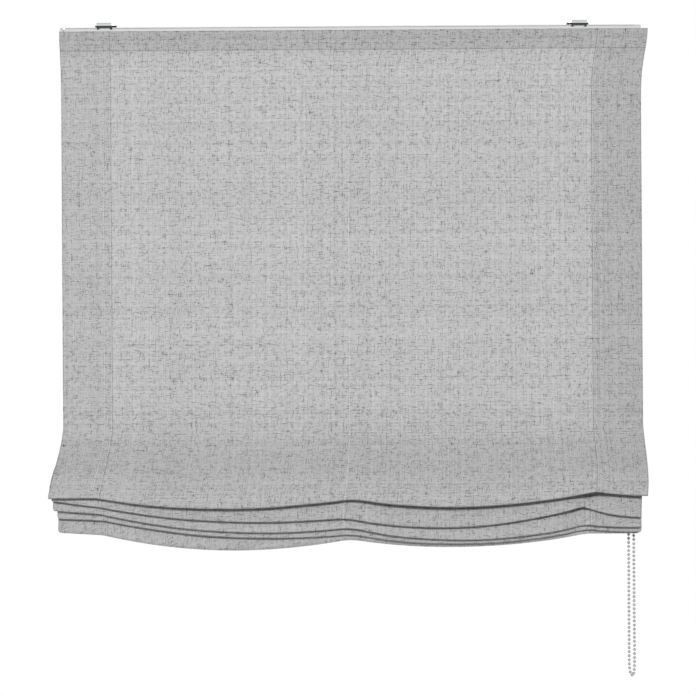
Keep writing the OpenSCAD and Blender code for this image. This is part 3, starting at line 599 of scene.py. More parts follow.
# %% Columns across the cloth
TAPE_HALF = 6.0
INSIDE_END, BESIDE_TAPE, BESIDE_HEM, BESIDE_MIDDLE = 10.0, 8.0, 1.5, 6.0
END_COLUMNS, LEFT_COLUMNS, RIGHT_COLUMNS = 9, 42, 44
left_in, right_in = LIFT[0] + TAPE_HALF, LIFT[2] - TAPE_HALF
corner_in = np.array([0, 0.4, 1.0, 1.8, 2.8, 4.5])
near_seam = np.array([-2.0, -1.0, -0.5, 0, 0.5, 1.0, 2.0])
stations = np.unique(np.round(np.concatenate([
    CLOTH_LEFT + corner_in,
    np.linspace(CLOTH_LEFT + INSIDE_END, LIFT[0] - BESIDE_TAPE, END_COLUMNS),
    np.linspace(left_in + BESIDE_HEM, LIFT[1] - BESIDE_MIDDLE, LEFT_COLUMNS),
    np.linspace(LIFT[1] + BESIDE_MIDDLE, right_in - BESIDE_HEM, RIGHT_COLUMNS),
    np.linspace(LIFT[2] + BESIDE_TAPE, CLOTH_RIGHT - INSIDE_END, END_COLUMNS),
    CLOTH_RIGHT - corner_in, [left_in, right_in], *[seam + near_seam for seam in SEAMS],
]), 3))
print(len(stations), "columns, hems", left_in - CLOTH_LEFT, "and", CLOTH_RIGHT - right_in, "mm wide")

# %% The cloth as one closed sheet
FRONT_SKIN, BACK_SKIN, HEM_SKIN = 0.45, 0.45, 1.1
BOTTOM_HEM = 24.0
cloth_line = middle_line(stations)
run = run_of(cloth_line)
wave = ripples(stations[:, None], run)
side_hem = (stations[:, None] <= left_in) | (stations[:, None] >= right_in)
hem = side_hem | (run <= TOP_HEM) | (run >= run[:, -1:] - BOTTOM_HEM)
cloth_front = place(stations, cloth_line, wave - FRONT_SKIN)
cloth_back = place(stations, cloth_line, wave + np.where(hem, HEM_SKIN, BACK_SKIN))
points, faces = closed_sheet(cloth_front, cloth_back)
flat = np.stack([np.broadcast_to(stations[:, None], run.shape), -run], -1).reshape(-1, 2) * MM
cloth = new_piece("cloth_sheet", points, faces, "blind", "cloth", uv=np.concatenate([flat, flat]))
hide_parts("cloth")
print("lengths down the sheet from", run[:, -1].min().round(), "to", run[:, -1].max().round(), "mm")

# %% [markdown]
# ## Painted shade on the cloth
# Painted shade: the cloth's colour is darkened where less light would reach it or pass through it.  So the
# hems and the gathered folds are darker, the right hem more than the left as if lit from the left, the top
# hem is darker, there are dark lines at its seam and at the edges of the side hems, and it is darker again
# where the cloth turns sharply under at the foot of a fold.  A painted image could show that.  A value at
# every point was chosen instead, because it follows the hems, and the material reads it as an attribute.

# %% Painted shade places
# Painted shade: hems, top hem and gathered folds are darker where less light passes through or reaches
# them, the right hem more than the left as if lit from the left.
LEFT_HEM_PAINTED_SHADE, RIGHT_HEM_PAINTED_SHADE, GATHERED_PAINTED_SHADE, TOP_HEM_PAINTED_SHADE = 0.25, 0.65, 0.55, 0.8
HEM_SEAM_PAINTED_SHADE, OUTER_EDGE_PAINTED_SHADE, INNER_EDGE_PAINTED_SHADE, CREASE_PAINTED_SHADE = 1.4, 1.0, 2.0, 1.8
HEM_SEAM_HALF, OUTER_EDGE_WIDTH, INNER_EDGE_WIDTH = 0.45, 1.1, 0.1
GATHER_BLEND, CREASE_FROM, CREASE_SPAN = 60.0, 0.4, 0.5
gathered = np.clip((run - (RING_DROP - CLOTH_TOP)) / GATHER_BLEND + 0.5, 0, 1)
hem_painted_shade = np.where(stations[:, None] <= left_in, LEFT_HEM_PAINTED_SHADE, RIGHT_HEM_PAINTED_SHADE)
painted_shade = np.maximum(np.where(side_hem, hem_painted_shade, 0.0), GATHERED_PAINTED_SHADE * gathered)
painted_shade = np.maximum(painted_shade, np.where(run <= TOP_HEM, TOP_HEM_PAINTED_SHADE, 0.0))
# Painted shade: dark lines along the top hem's seam and at the outer and inner edges of the side hems, and
# darker undersides where the cloth turns under.
painted_shade = np.where(np.abs(run - HEM_SEAM) < HEM_SEAM_HALF, HEM_SEAM_PAINTED_SHADE, painted_shade)
outer = np.minimum(stations - CLOTH_LEFT, CLOTH_RIGHT - stations)[:, None]
inner = np.minimum(np.abs(stations - left_in), np.abs(stations - right_in))[:, None]
underside_shade_mask = np.clip((back_way(cloth_line)[..., 2] - CREASE_FROM) / CREASE_SPAN, 0, 1)
painted_shade = painted_shade + OUTER_EDGE_PAINTED_SHADE * (outer < OUTER_EDGE_WIDTH)
painted_shade = painted_shade + INNER_EDGE_PAINTED_SHADE * (inner < INNER_EDGE_WIDTH) + CREASE_PAINTED_SHADE * underside_shade_mask
layer = cloth.data.attributes.new("painted_shade", "FLOAT", "POINT")
layer.data.foreach_set("value", np.tile(painted_shade.ravel(), 2).astype(np.float32))
print("mean painted_shade_level", round(float(painted_shade.mean()), 3))

# %% [markdown]
# ## Stitches
# Machine stitches run down both edges of the outer tapes, down the middle tape and along the top hem.
# A bump texture could fake them, but it vanishes at the edge of a fold.  So each stitch is a tiny spindle
# of twelve faces that lies on the front of the cloth, and numpy makes a whole seam at once.

# %% Stitches as spindles
STITCH_SIDES = 6


def spindles(at, ways, outs, length, radius):
    """Six-sided spindles: a ring of six points around each place and a tip at either end."""
    outs = unit(outs - (outs * ways).sum(-1, keepdims=True) * ways)
    body = at[:, None] + radius * rings_round(outs, np.cross(ways, outs), STITCH_SIDES)
    tips = at[:, None] + 0.5 * length * ways[:, None] * np.array([-1.0, 1.0])[None, :, None]
    every = np.concatenate([body, tips], axis=1)
    corner_now = np.arange(STITCH_SIDES)
    corner_next, tip = np.roll(corner_now, -1), np.full(STITCH_SIDES, STITCH_SIDES)
    far_end = np.stack([corner_now, corner_next, tip + 1], -1)
    near_end = np.stack([corner_next, corner_now, tip], -1)
    one = np.concatenate([far_end, near_end])
    faces = (every.shape[1] * np.arange(len(at)))[:, None, None] + one[None]
    return every.reshape(-1, 3), faces.reshape(-1, 3)


print("faces of a stitch:", 2 * STITCH_SIDES)

# %% Places of the stitches
STITCH_OUT, STITCH_PITCH = 0.1, 4.0
HEM_END, TOP_END, SIDE_END = 4.0, 30.0, 3.0


def seam_down(x):
    """Places, directions and outward ways of stitches down the front of the cloth at station x.

    They lie at even lengths along the sheet, found by straight interpolation between its samples.
    """
    x = np.array([x])
    line = middle_line(x)
    run_x = run_of(line)[0]
    front = place(x, line, ripples(x[:, None], run_x[None]) - FRONT_SKIN - STITCH_OUT)[0]
    s = np.arange(TOP_END, run_x[-1] - HEM_END, STITCH_PITCH)

    def at_lengths(values):
        """The samples' values, interpolated at the lengths of the stitches."""
        return np.stack([np.interp(s, run_x, values[:, i]) for i in range(3)], -1)

    ways = unit(at_lengths(np.gradient(front, run_x, axis=0)))
    return at_lengths(front), ways, at_lengths(-back_way(line)[0])


def seam_across(drop):
    """Places, directions and outward ways of stitches along the top hem, at even steps across."""
    x = np.arange(CLOTH_LEFT + SIDE_END, CLOTH_RIGHT - SIDE_END, STITCH_PITCH)
    y = PANEL_Y - FRONT_SKIN + ripples(x, 0 * x + drop - CLOTH_TOP) - STITCH_OUT
    at = np.stack([x + top_pull(x, drop), y, 0 * x - drop], -1)
    return at, np.tile([1.0, 0.0, 0.0], (len(x), 1)), np.tile([0.0, -1.0, 0.0], (len(x), 1))


print("stitches in one seam:", len(seam_down(LIFT[0])[0]))

# %% Seams
TAPE_STITCH, HEM_STITCH = dict(length=3.2, radius=0.45), dict(length=2.6, radius=0.4)
points, faces = join([spindles(*seam_down(seam), **TAPE_STITCH) for seam in SEAMS])
stitches = new_piece("seam_stitches", points, faces, "blind", "cloth")
points, faces = spindles(*seam_across(CLOTH_TOP + HEM_SEAM), **HEM_STITCH)
hem_stitches = new_piece("hem_stitches", points, faces, "blind", "cloth")

# %% [markdown]
# ## Lift tapes
# A woven tape is sewn to the back of the cloth along each lift line, with a small loop of tape round
# every ring.  A tape could be a flat strip with a Shrinkwrap modifier.  It is computed from the cloth's
# own line instead, a fixed gap behind it, so that it follows every fold.

# %% Loops round the rings
RING_R, WIRE_R = 5.2, 0.9
LOOP_PLAY, LOOP_R, LOOP_ROOT, LOOP_SKIN = 0.85, 1.25, 0.2, 0.22
LOOP_ACROSS = np.linspace(-1.5, 1.5, 5)


def ring_drop(k, x):
    """Drop of ring k on the lift line x: the ring line for the first, a crest for the others."""
    x = np.array([x])
    return float(ring_line(x)[0] if k == 0 else crest_drop(k, x)[0])


def loop_band(x, back, drop):
    """A band in a U around a ring: straight out from the tape, half a circle, and straight back."""
    reach = CORD_Y - RING_R + WIRE_R + LOOP_PLAY
    bend = np.linspace(-np.pi / 2, np.pi / 2, 7)
    y = np.concatenate([[back - LOOP_ROOT], reach - LOOP_R + LOOP_R * np.cos(bend), [back - LOOP_ROOT]])
    z = np.concatenate([[-LOOP_R], LOOP_R * np.sin(bend), [LOOP_R]]) - drop
    line = np.stack([0 * y + x, y, z], -1)
    out = unit(np.stack([0 * y, np.gradient(z), -np.gradient(y)], -1))
    across = LOOP_ACROSS[:, None, None] * np.array([1.0, 0.0, 0.0])
    return closed_sheet(line - LOOP_SKIN * out + across, line + LOOP_SKIN * out + across)


print("rings", [ring_drop(k, LIFT[0]) for k in range(5)], "mm down")

# %% Tape with its loops
TAPE_GAP, TAPE_THICK, TAPE_EDGE_IN, CREST_BACK = 0.1, 0.6, 0.12, 0.25
TAPE_FIRST, TAPE_LAST = len(HEM_ROWS) - 1, -10
TAPE_COLUMNS, RINGS = 7, 5


def tape_sheet(x, skin):
    """Closed strip along the cloth's line at a lift line: a gap and a thickness behind the skin."""
    across = np.linspace(x - TAPE_HALF, x + TAPE_HALF, TAPE_COLUMNS)
    line = middle_line(across)[:, TAPE_FIRST:TAPE_LAST]
    near = ripples(across[:, None], run_of(line) + HEM_ROWS[TAPE_FIRST]) + skin + TAPE_GAP
    edge_in = np.zeros((TAPE_COLUMNS, 1))
    edge_in[[0, -1]] = TAPE_EDGE_IN
    return closed_sheet(place(across, line, near + TAPE_THICK - edge_in), place(across, line, near))


def lift_tape(side, x):
    """The tape of one lift line, joined with a loop round each of its rings."""
    skin = BACK_SKIN if side == "centre" else HEM_SKIN
    behind = PANEL_Y + skin + TAPE_GAP + TAPE_THICK
    loops = [loop_band(x, behind - (CREST_BACK if k else 0), ring_drop(k, x)) for k in range(RINGS)]
    tape = new_piece("lift_tape_" + side + "_woven", *join([tape_sheet(x, skin), *loops]), "blind", "tape")
    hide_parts("lift_tape_" + side)


print("tape", 2 * TAPE_HALF, "mm wide,", TAPE_THICK, "mm thick")

# %% [markdown]
# ## Hanging lift cord
# A lift cord is twisted from three strands and hangs from its drum through the rings down to a stop.
# Three thin tubes wound round each other would show the twist too, with three times the faces.  One tube
# was chosen whose radius swells three times round the circle, with the swell turning as it goes down.

# %% Lift cord
CORD_CORE, STRAND_SWELL, STRANDS, TWIST = 0.52, 0.08, 3, 0.9
CORD_SIDES, CORD_RINGS = 10, 420


def lift_cord(side, x):
    """An upright tube: its radius is a core plus a cosine that goes round three times and turns.

    The rings lie further apart than this quick turn, so the mesh shows a slower twist the other way,
    about 28 mm to a turn.
    """
    z = np.linspace(AXLE_Z, CORD_LOW, CORD_RINGS)
    turned = 2 * np.pi * np.arange(CORD_SIDES)[None] / CORD_SIDES - z[:, None] / TWIST
    radius = CORD_CORE + STRAND_SWELL * np.cos(STRANDS * turned)
    line = np.stack([0 * z + x, 0 * z + CORD_Y, z], -1)
    cord = new_piece("lift_cord_" + side + "_twist", *tube(line, radius, CORD_SIDES), "blind", "cord")
    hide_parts("lift_cord_" + side)


print("lift cord", 2 * (CORD_CORE + STRAND_SWELL), "mm thick")

# %% [markdown]
# ## Cord on the drums
# The rest of each cord lies on its drum in twelve turns side by side, and turns with it.  A stack of
# rings would look alike from afar.  A true helix was chosen, because it is one cord and shows its slant.

# %% Wound cord
TURNS, TURN_POINTS, TURN_PITCH = 12, 40, 1.2
WOUND_R, WOUND_CORD_R, WOUND_SIDES = 9.82, 0.58, 8


def wound_cord(side, x):
    """A helix about the axle: a circle in Y and Z that moves on by one pitch each turn."""
    turn = np.linspace(0, 2 * np.pi * TURNS, TURNS * TURN_POINTS)
    forward = x + TURN_PITCH + TURN_PITCH * turn / (2 * np.pi)
    helix = np.stack([forward, -WOUND_R * np.cos(turn), AXLE_Z - WOUND_R * np.sin(turn)], -1)
    coil_mesh = tube(helix, WOUND_CORD_R, WOUND_SIDES)
    coil = new_piece("cord_coil_" + side + "_wound", *coil_mesh, "drive_shaft", "cord")
    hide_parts("cord_coil_" + side)


print("wound cord", round(TURNS * 2 * math.pi * WOUND_R), "mm on each drum")

# %% Lift gear on every lift line
for side, x in zip(SIDES, LIFT):
    lift_tape(side, x)
    lift_cord(side, x)
    wound_cord(side, x)

# %% [markdown]
# ## Touch fastening
# The cloth is held to the rail by two strips that cling to each other: small hooks on the rail and a low
# pile on the cloth.  Hair particles could show both, at a high cost for something hardly seen.  An uneven
# front on a thin strip is enough.  Two crossed sine waves give it, and as they are finer than the grid
# that samples them, the result is irregular.

# %% Fastening strips
FUZZ, FUZZ_IN, STRIP_BACK_IN = 0.06, 0.08, 0.03
FUZZ_ACROSS, FUZZ_SLANT, FUZZ_DOWN = 3.1, 1.7, 2.3
STRIP_COLUMNS, STRIP_ROWS = 260, 12
for name in ("hook_tape", "loop_tape"):
    low, high = box_mm(name)
    across, down = np.linspace(low[0], high[0], STRIP_COLUMNS), np.linspace(high[2], low[2], STRIP_ROWS)
    gx, gz = np.meshgrid(across, down, indexing="ij")
    fuzz = FUZZ * np.sin(gx * FUZZ_ACROSS + gz * FUZZ_SLANT) * np.sin(gz * FUZZ_DOWN)
    front = np.stack([gx, low[1] + FUZZ_IN + fuzz, gz], -1)
    back = np.stack([gx, 0 * gx + high[1] - STRIP_BACK_IN, gz], -1)
    strip = new_piece(name + "_strip", *closed_sheet(front, back), "blind", "fastener")
    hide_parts(name)

# %% [markdown]
# ## The route of the chain
# The bead chain hangs in a closed loop from the wheel in the drive.  A rigid-body chain could be left to
# settle.  A few listed points say the same, and they are those of the solid model: down the front
# run and round the lowest bend.  The back run is the front run turned half round the loop's middle.

# %% Chain route
CHAIN_X = float(box_mm("chain_cord")[:, 0].mean().round(2))
CHAIN_FRONT = (
    (423, -9.7, AXLE_Z), (423, -9.7, -40), (423.1, -9.6, -80), (423.3, -9.4, -160),
    (423.7, -9.1, -260), (424.1, -8.7, -360), (424.5, -8.3, -460), (424.9, -7.9, -560),
    (425.2, -7.5, -660), (425.4, -7.2, -760), (425.6, -6.9, -860), (425.7, -6.6, -940),
    (425.6, -6.1, -952), (425.1, -4.7, -960), (424.2, -2.6, -964), (423, 0, -965),
)
front_run = np.array(CHAIN_FRONT, float)
back_run = front_run[-2::-1] * [-1, -1, 1] + [2 * CHAIN_X, 0, 0]
route = np.concatenate([front_run, back_run])
far = np.concatenate([[0], np.cumsum(np.linalg.norm(np.diff(route, axis=0), axis=1))])


def along(s):
    """Points of the chain's route at lengths s, by straight interpolation between its corners."""
    return np.stack([np.interp(s, far, route[:, i]) for i in range(3)], -1)


print("free chain", round(far[-1] * MM, 3), "m")

# %% [markdown]
# ## Beads
# Hundreds of round beads are moulded on the chain's thread at an even pitch, and the wheel carries them
# one in each pocket.  Instances of one ball would be light, but the part needs real faces.  So one ball of
# six dozen faces is copied with numpy to every place along the route and over the wheel.

# %% One bead


def ball(columns=12, rows=6):
    """Unit ball: rings of latitude between two poles, as quads with triangles round each pole."""
    lat = np.linspace(-np.pi / 2, np.pi / 2, rows + 1)[1:-1]
    lat, lon = np.meshgrid(lat, 2 * np.pi * np.arange(columns) / columns, indexing="ij")
    rings = np.stack([np.cos(lat) * np.cos(lon), np.cos(lat) * np.sin(lon), np.sin(lat)], -1)
    index = np.arange(lat.size).reshape(lat.shape)
    beside = np.roll(index, -1, axis=1)
    quads = np.stack([index[:-1], beside[:-1], beside[1:], index[1:]], -1).reshape(-1, 4)
    pole = np.full(columns, lat.size)
    low_tip = np.stack([pole, beside[0], index[0]], -1)
    high_tip = np.stack([pole + 1, index[-1], beside[-1]], -1)
    points = np.concatenate([rings.reshape(-1, 3), [[0, 0, -1], [0, 0, 1]]])
    return points, quads, np.concatenate([low_tip, high_tip])


one, quads, tips = ball()
print("faces of a bead:", len(quads) + len(tips))

# %% Beads along the route and over the wheel
PITCH, BEAD_R, POCKETS = 6.0, 2.25, 10
wheel_r = PITCH / 2 / math.sin(math.pi / POCKETS)


def over_wheel(angle):
    """Points on the wheel's pitch circle at angles from the front run."""
    return np.stack([0 * angle + CHAIN_X, wheel_r * np.cos(angle), AXLE_Z + wheel_r * np.sin(angle)], -1)


pitches = round(far[-1] / PITCH)
hanging = along(far[-1] * np.arange(pitches + 1) / pitches)
centres = np.concatenate([hanging, over_wheel(2 * np.pi / POCKETS * np.arange(1, POCKETS // 2))])
points = (centres[:, None] + BEAD_R * one[None]).reshape(-1, 3)
first = (len(one) * np.arange(len(centres)))[:, None, None]
faces = (first + quads).reshape(-1, 4).tolist() + (first + tips).reshape(-1, 3).tolist()
beads = new_piece("chain_bead_row", points, faces, "blind", "bead_plastic")
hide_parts("chain_beads")
print(len(centres), "beads")

# %% [markdown]
# ## The chain's thread
# The thread runs through all beads, down one run, up the other and over the wheel.  It is made as a tube
# on the same route, because beads and thread then can't part.  The stretch over the wheel is a piece of
# its own, since the drive hides it.

# %% Thread
THREAD_R, THREAD_SIDES, THREAD_RINGS, TOP_RINGS = 0.5, 8, 500, 24
path = along(np.linspace(0, far[-1], THREAD_RINGS))
thread = new_piece("chain_thread", *tube(path, THREAD_R, THREAD_SIDES), "blind", "cord")
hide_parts("chain_cord")
top_arc = over_wheel(np.linspace(0, np.pi, TOP_RINGS))
thread_top = new_piece("chain_thread_top", *tube(top_arc, THREAD_R, THREAD_SIDES), "blind", "cord")

# %% [markdown]
# ## Node tools
# Materials are made of nodes, and the same few steps come back in all of them: do a sum, place a noise,
# turn a value into a soft step.  They could be clicked together one by one.  Small helpers keep the
# recipes below short enough to read.

# %% Groups and sums


def node_group(name, inputs, outputs):
    """A shader node group with named inputs and outputs."""
    tree = bpy.data.node_groups.new(name, "ShaderNodeTree")
    for label, kind, default in inputs:
        socket = tree.interface.new_socket(label, in_out="INPUT", socket_type=kind)
        if default is not None:
            socket.default_value = default
    for label, kind in outputs:
        tree.interface.new_socket(label, in_out="OUTPUT", socket_type=kind)
    return tree, tree.nodes.new("NodeGroupInput"), tree.nodes.new("NodeGroupOutput")


def math_node(tree, operation, a, b):
    """A math node on two sockets or numbers."""
    node = tree.nodes.new("ShaderNodeMath")
    node.operation = operation
    for socket, value in zip(node.inputs, (a, b)):
        if isinstance(value, (int, float)):
            socket.default_value = value
        else:
            tree.links.new(value, socket)
    return node.outputs[0]


print("node tools: group and sum")

# %% Noise and soft steps


def noise_on(tree, vector, detail):
    """Noise whose grain is one unit of the vector, with some finer detail."""
    noise = tree.nodes.new("ShaderNodeTexNoise")
    noise.inputs["Scale"].default_value = 1.0
    noise.inputs["Detail"].default_value = detail
    noise.inputs["Roughness"].default_value = 0.5
    tree.links.new(vector, noise.inputs["Vector"])
    return noise.outputs[0]


def soft_step(tree, value, low, high):
    """0 below low, 1 above high and a smooth step between."""
    node = tree.nodes.new("ShaderNodeMapRange")
    node.interpolation_type = "SMOOTHSTEP"
    node.inputs["From Min"].default_value = low
    node.inputs["From Max"].default_value = high
    tree.links.new(value, node.inputs["Value"])
    return node.outputs[0]


print("node tools: noise and soft step")

# %% [markdown]
# ## Linen
# The cloth is a coarse plain weave.  Its yarns are uneven, and short thick places, the slubs, show as dark
# dashes across and down.  A photograph of linen would repeat and blur.  So the yarns are laid out in the
# cloth's flat coordinates: each yarn has a random number that shifts a noise along it, and where the noise
# is high there is a slub.

# %% Yarns
YARNS_PER_M, SLUBS_PER_M = 1800.0, 115.0
YARN_SHIFT, YARN_APART = 613.0, 1.37


def yarn(tree, length, across):
    """Thickness and tone of yarns that run along one coordinate and lie side by side on the other.

    The whole part of the scaled side coordinate numbers the yarns.  A random value for that number
    shifts the noise along the yarn and is also the yarn's tone.
    """
    number = math_node(tree, "FLOOR", math_node(tree, "MULTIPLY", across, YARNS_PER_M), 0.0)
    chance = tree.nodes.new("ShaderNodeTexWhiteNoise")
    chance.noise_dimensions = "1D"
    tree.links.new(number, chance.inputs["W"])
    shift = math_node(tree, "MULTIPLY", chance.outputs["Value"], YARN_SHIFT)
    on_yarn = tree.nodes.new("ShaderNodeCombineXYZ")
    run_along = math_node(tree, "ADD", math_node(tree, "MULTIPLY", length, SLUBS_PER_M), shift)
    tree.links.new(run_along, on_yarn.inputs["X"])
    tree.links.new(math_node(tree, "MULTIPLY", shift, YARN_APART), on_yarn.inputs["Y"])
    return noise_on(tree, on_yarn.outputs[0], 1.0), chance.outputs["Value"]


print("yarns", round(1 / YARNS_PER_M / MM, 2), "mm wide")

# %% The linen group
WEFT_SLUB, WARP_SLUB = (0.59, 0.69), (0.60, 0.70)
LINEN_TONE, THREAD_SHADE, YARN_SHADE, SLUB_SHADE = 1.24, 0.35, 0.2, 0.52
linen, g_in, g_out = node_group(
    "linen", [("Vector", "NodeSocketVector", None)],
    [("Tone", "NodeSocketFloat"), ("Height", "NodeSocketFloat")],
)
flat_sides = linen.nodes.new("ShaderNodeSeparateXYZ")
linen.links.new(g_in.outputs["Vector"], flat_sides.inputs["Vector"])
weft, weft_tone = yarn(linen, flat_sides.outputs["X"], flat_sides.outputs["Y"])
warp, warp_tone = yarn(linen, flat_sides.outputs["Y"], flat_sides.outputs["X"])
slubs = math_node(linen, "ADD", soft_step(linen, weft, *WEFT_SLUB), soft_step(linen, warp, *WARP_SLUB))
threads = math_node(linen, "ADD", weft, warp)
tones = math_node(linen, "ADD", weft_tone, warp_tone)
tone = math_node(linen, "SUBTRACT", LINEN_TONE, math_node(linen, "MULTIPLY", threads, THREAD_SHADE))
tone = math_node(linen, "ADD", tone, math_node(linen, "MULTIPLY", tones, YARN_SHADE))
tone = math_node(linen, "SUBTRACT", tone, math_node(linen, "MULTIPLY", slubs, SLUB_SHADE))
linen.links.new(tone, g_out.inputs["Tone"])
linen.links.new(threads, g_out.inputs["Height"])
print("linen group:", len(linen.nodes), "nodes")

# %% [markdown]
# ## Grain
# No paint, moulding or metal is perfectly even.  Each could have its own noise, but one shared group is
# enough: its stretch makes the grain round for paint and plastic, or drawn out along X for brushed steel.

# %% The grain group
EVEN_GRAIN = (400, 400, 400)
grain, g_in, g_out = node_group(
    "grain", [("Vector", "NodeSocketVector", None), ("Stretch", "NodeSocketVector", EVEN_GRAIN)],
    [("Value", "NodeSocketFloat")],
)
scaled = grain.nodes.new("ShaderNodeVectorMath")
scaled.operation = "MULTIPLY"
grain.links.new(g_in.outputs["Vector"], scaled.inputs[0])
grain.links.new(g_in.outputs["Stretch"], scaled.inputs[1])
grain.links.new(noise_on(grain, scaled.outputs[0], 3.0), g_out.inputs["Value"])
print("grain group:", len(grain.nodes), "nodes")

# %% [markdown]
# ## Material tools
# Every finish starts as one Principled shader.  A colour, a roughness and a metallic value would do from
# afar.  Two helpers add what is seen close up: a tone that changes over the surface, and a fine relief.

# %% Plain material


def material(name, color, rough, metallic=0.0):
    """A Principled material with plain values, and its node tree."""
    made = bpy.data.materials.new(name)
    made.use_nodes = True
    made.diffuse_color = (*color, 1)
    shader = made.node_tree.nodes["Principled BSDF"]
    shader.inputs["Base Color"].default_value = (*color, 1)
    shader.inputs["Roughness"].default_value = rough
    shader.inputs["Metallic"].default_value = metallic
    return made, made.node_tree, shader


def use_group(tree, shared):
    """Places a shared node group in a material."""
    node = tree.nodes.new("ShaderNodeGroup")
    node.node_tree = shared
    return node


print("shared groups:", [shared.name for shared in (linen, grain)])

# %% Tone and relief


def tint(tree, color, factor, shader):
    """Base colour multiplied by a value that changes over the surface."""
    node = tree.nodes.new("ShaderNodeMix")
    node.data_type = "RGBA"
    node.blend_type = "MULTIPLY"
    node.inputs["Factor"].default_value = 1.0
    node.inputs["A"].default_value = (*color, 1)
    tree.links.new(factor, node.inputs["B"])
    tree.links.new(node.outputs["Result"], shader.inputs["Base Color"])
    return node.outputs["Result"]


def bump(tree, height, strength, distance, shader):
    """Small relief on a shader's normal."""
    node = tree.nodes.new("ShaderNodeBump")
    node.inputs["Strength"].default_value = strength
    node.inputs["Distance"].default_value = distance
    tree.links.new(height, node.inputs["Height"])
    tree.links.new(node.outputs["Normal"], shader.inputs["Normal"])


print("material tools: tint and bump")

# %% [markdown]
# ## The finish of the cloth
# Grey linen is dull, and some light passes through it.  Transmission on the Principled shader is meant
# for clear materials.  So a Translucent shader is mixed in, which spreads light out of the far side.  The
# painted shade attribute darkens the cloth's colour where less light would reach or pass through it.

# %% Cloth finish
CLOTH_ROUGH, CLOTH_RELIEF, YARN_HEIGHT, PAINTED_SHADE_STRENGTH = 0.92, 0.4, 0.0004, 0.2
DULL = 0.15


def cloth_material(name, color, let_through):
    """Woven cloth: linen on the flat coordinates, with painted shade from an attribute, and light through.
    """
    made, tree, shader = material(name, color, CLOTH_ROUGH)
    shader.inputs["Specular IOR Level"].default_value = DULL
    flat_place = tree.nodes.new("ShaderNodeUVMap")
    flat_place.uv_map = "weave"
    weave = use_group(tree, linen)
    tree.links.new(flat_place.outputs["UV"], weave.inputs["Vector"])
    # Painted shade: the attribute darkens the base colour where less light would reach or pass through the
    # cloth.
    painted_shade_node = tree.nodes.new("ShaderNodeAttribute")
    painted_shade_node.attribute_name = "painted_shade"
    darker = math_node(tree, "MULTIPLY", painted_shade_node.outputs["Fac"], PAINTED_SHADE_STRENGTH)
    factor = math_node(tree, "MULTIPLY", weave.outputs["Tone"], math_node(tree, "SUBTRACT", 1.0, darker))
    result = tint(tree, color, factor, shader)
    bump(tree, weave.outputs["Height"], CLOTH_RELIEF, YARN_HEIGHT, shader)
    through = tree.nodes.new("ShaderNodeBsdfTranslucent")
    tree.links.new(result, through.inputs["Color"])
    both = tree.nodes.new("ShaderNodeMixShader")
    both.inputs["Fac"].default_value = let_through
    tree.links.new(shader.outputs["BSDF"], both.inputs[1])
    tree.links.new(through.outputs["BSDF"], both.inputs[2])
    tree.links.new(both.outputs["Shader"], tree.nodes["Material Output"].inputs["Surface"])
    return made


finish = {"cloth": cloth_material("grey_linen", (0.44, 0.44, 0.44), 0.14)}
print("made", finish["cloth"].name)

# %% [markdown]
# ## Paint, plastic, metal and thread
# The rail is powder coated, the clips are plated steel, and caps, drive and beads are moulded plastic.
# The latches are coloured near black as painted shadow for the gap under each clip, and the beads dark
# grey as painted shade for the shading on them.  Each could have a tree of its own.  They differ only in
# colour, roughness and grain, so one function makes them all, and the table reads like a list of finishes.

# %% Grained finishes
ROUGH_SPREAD, GRAIN_HEIGHT = 0.12, 0.0002
PLASTIC, FINE_GRAIN, BRUSHED = (500, 500, 500), (900, 900, 900), (50, 900, 900)
WOVEN, TWISTED = (1400, 1400, 1400), (2500, 2500, 2500)
WOVEN_SHADE = 0.08


def grain_material(name, color, rough, stretch, relief, metallic=0.0, shade=0.03):
    """Fine grain on object coordinates, in tone, roughness and relief, about the given values."""
    made, tree, shader = material(name, color, rough, metallic)
    where = tree.nodes.new("ShaderNodeTexCoord")
    uneven = use_group(tree, grain)
    uneven.inputs["Stretch"].default_value = stretch
    tree.links.new(where.outputs["Object"], uneven.inputs["Vector"])
    value = uneven.outputs["Value"]
    tone = math_node(tree, "ADD", math_node(tree, "MULTIPLY", value, shade), 1 - shade / 2)
    tint(tree, color, tone, shader)
    spread = math_node(tree, "MULTIPLY", value, ROUGH_SPREAD)
    tree.links.new(math_node(tree, "ADD", spread, rough - ROUGH_SPREAD / 2), shader.inputs["Roughness"])
    bump(tree, value, relief, GRAIN_HEIGHT, shader)
    return made


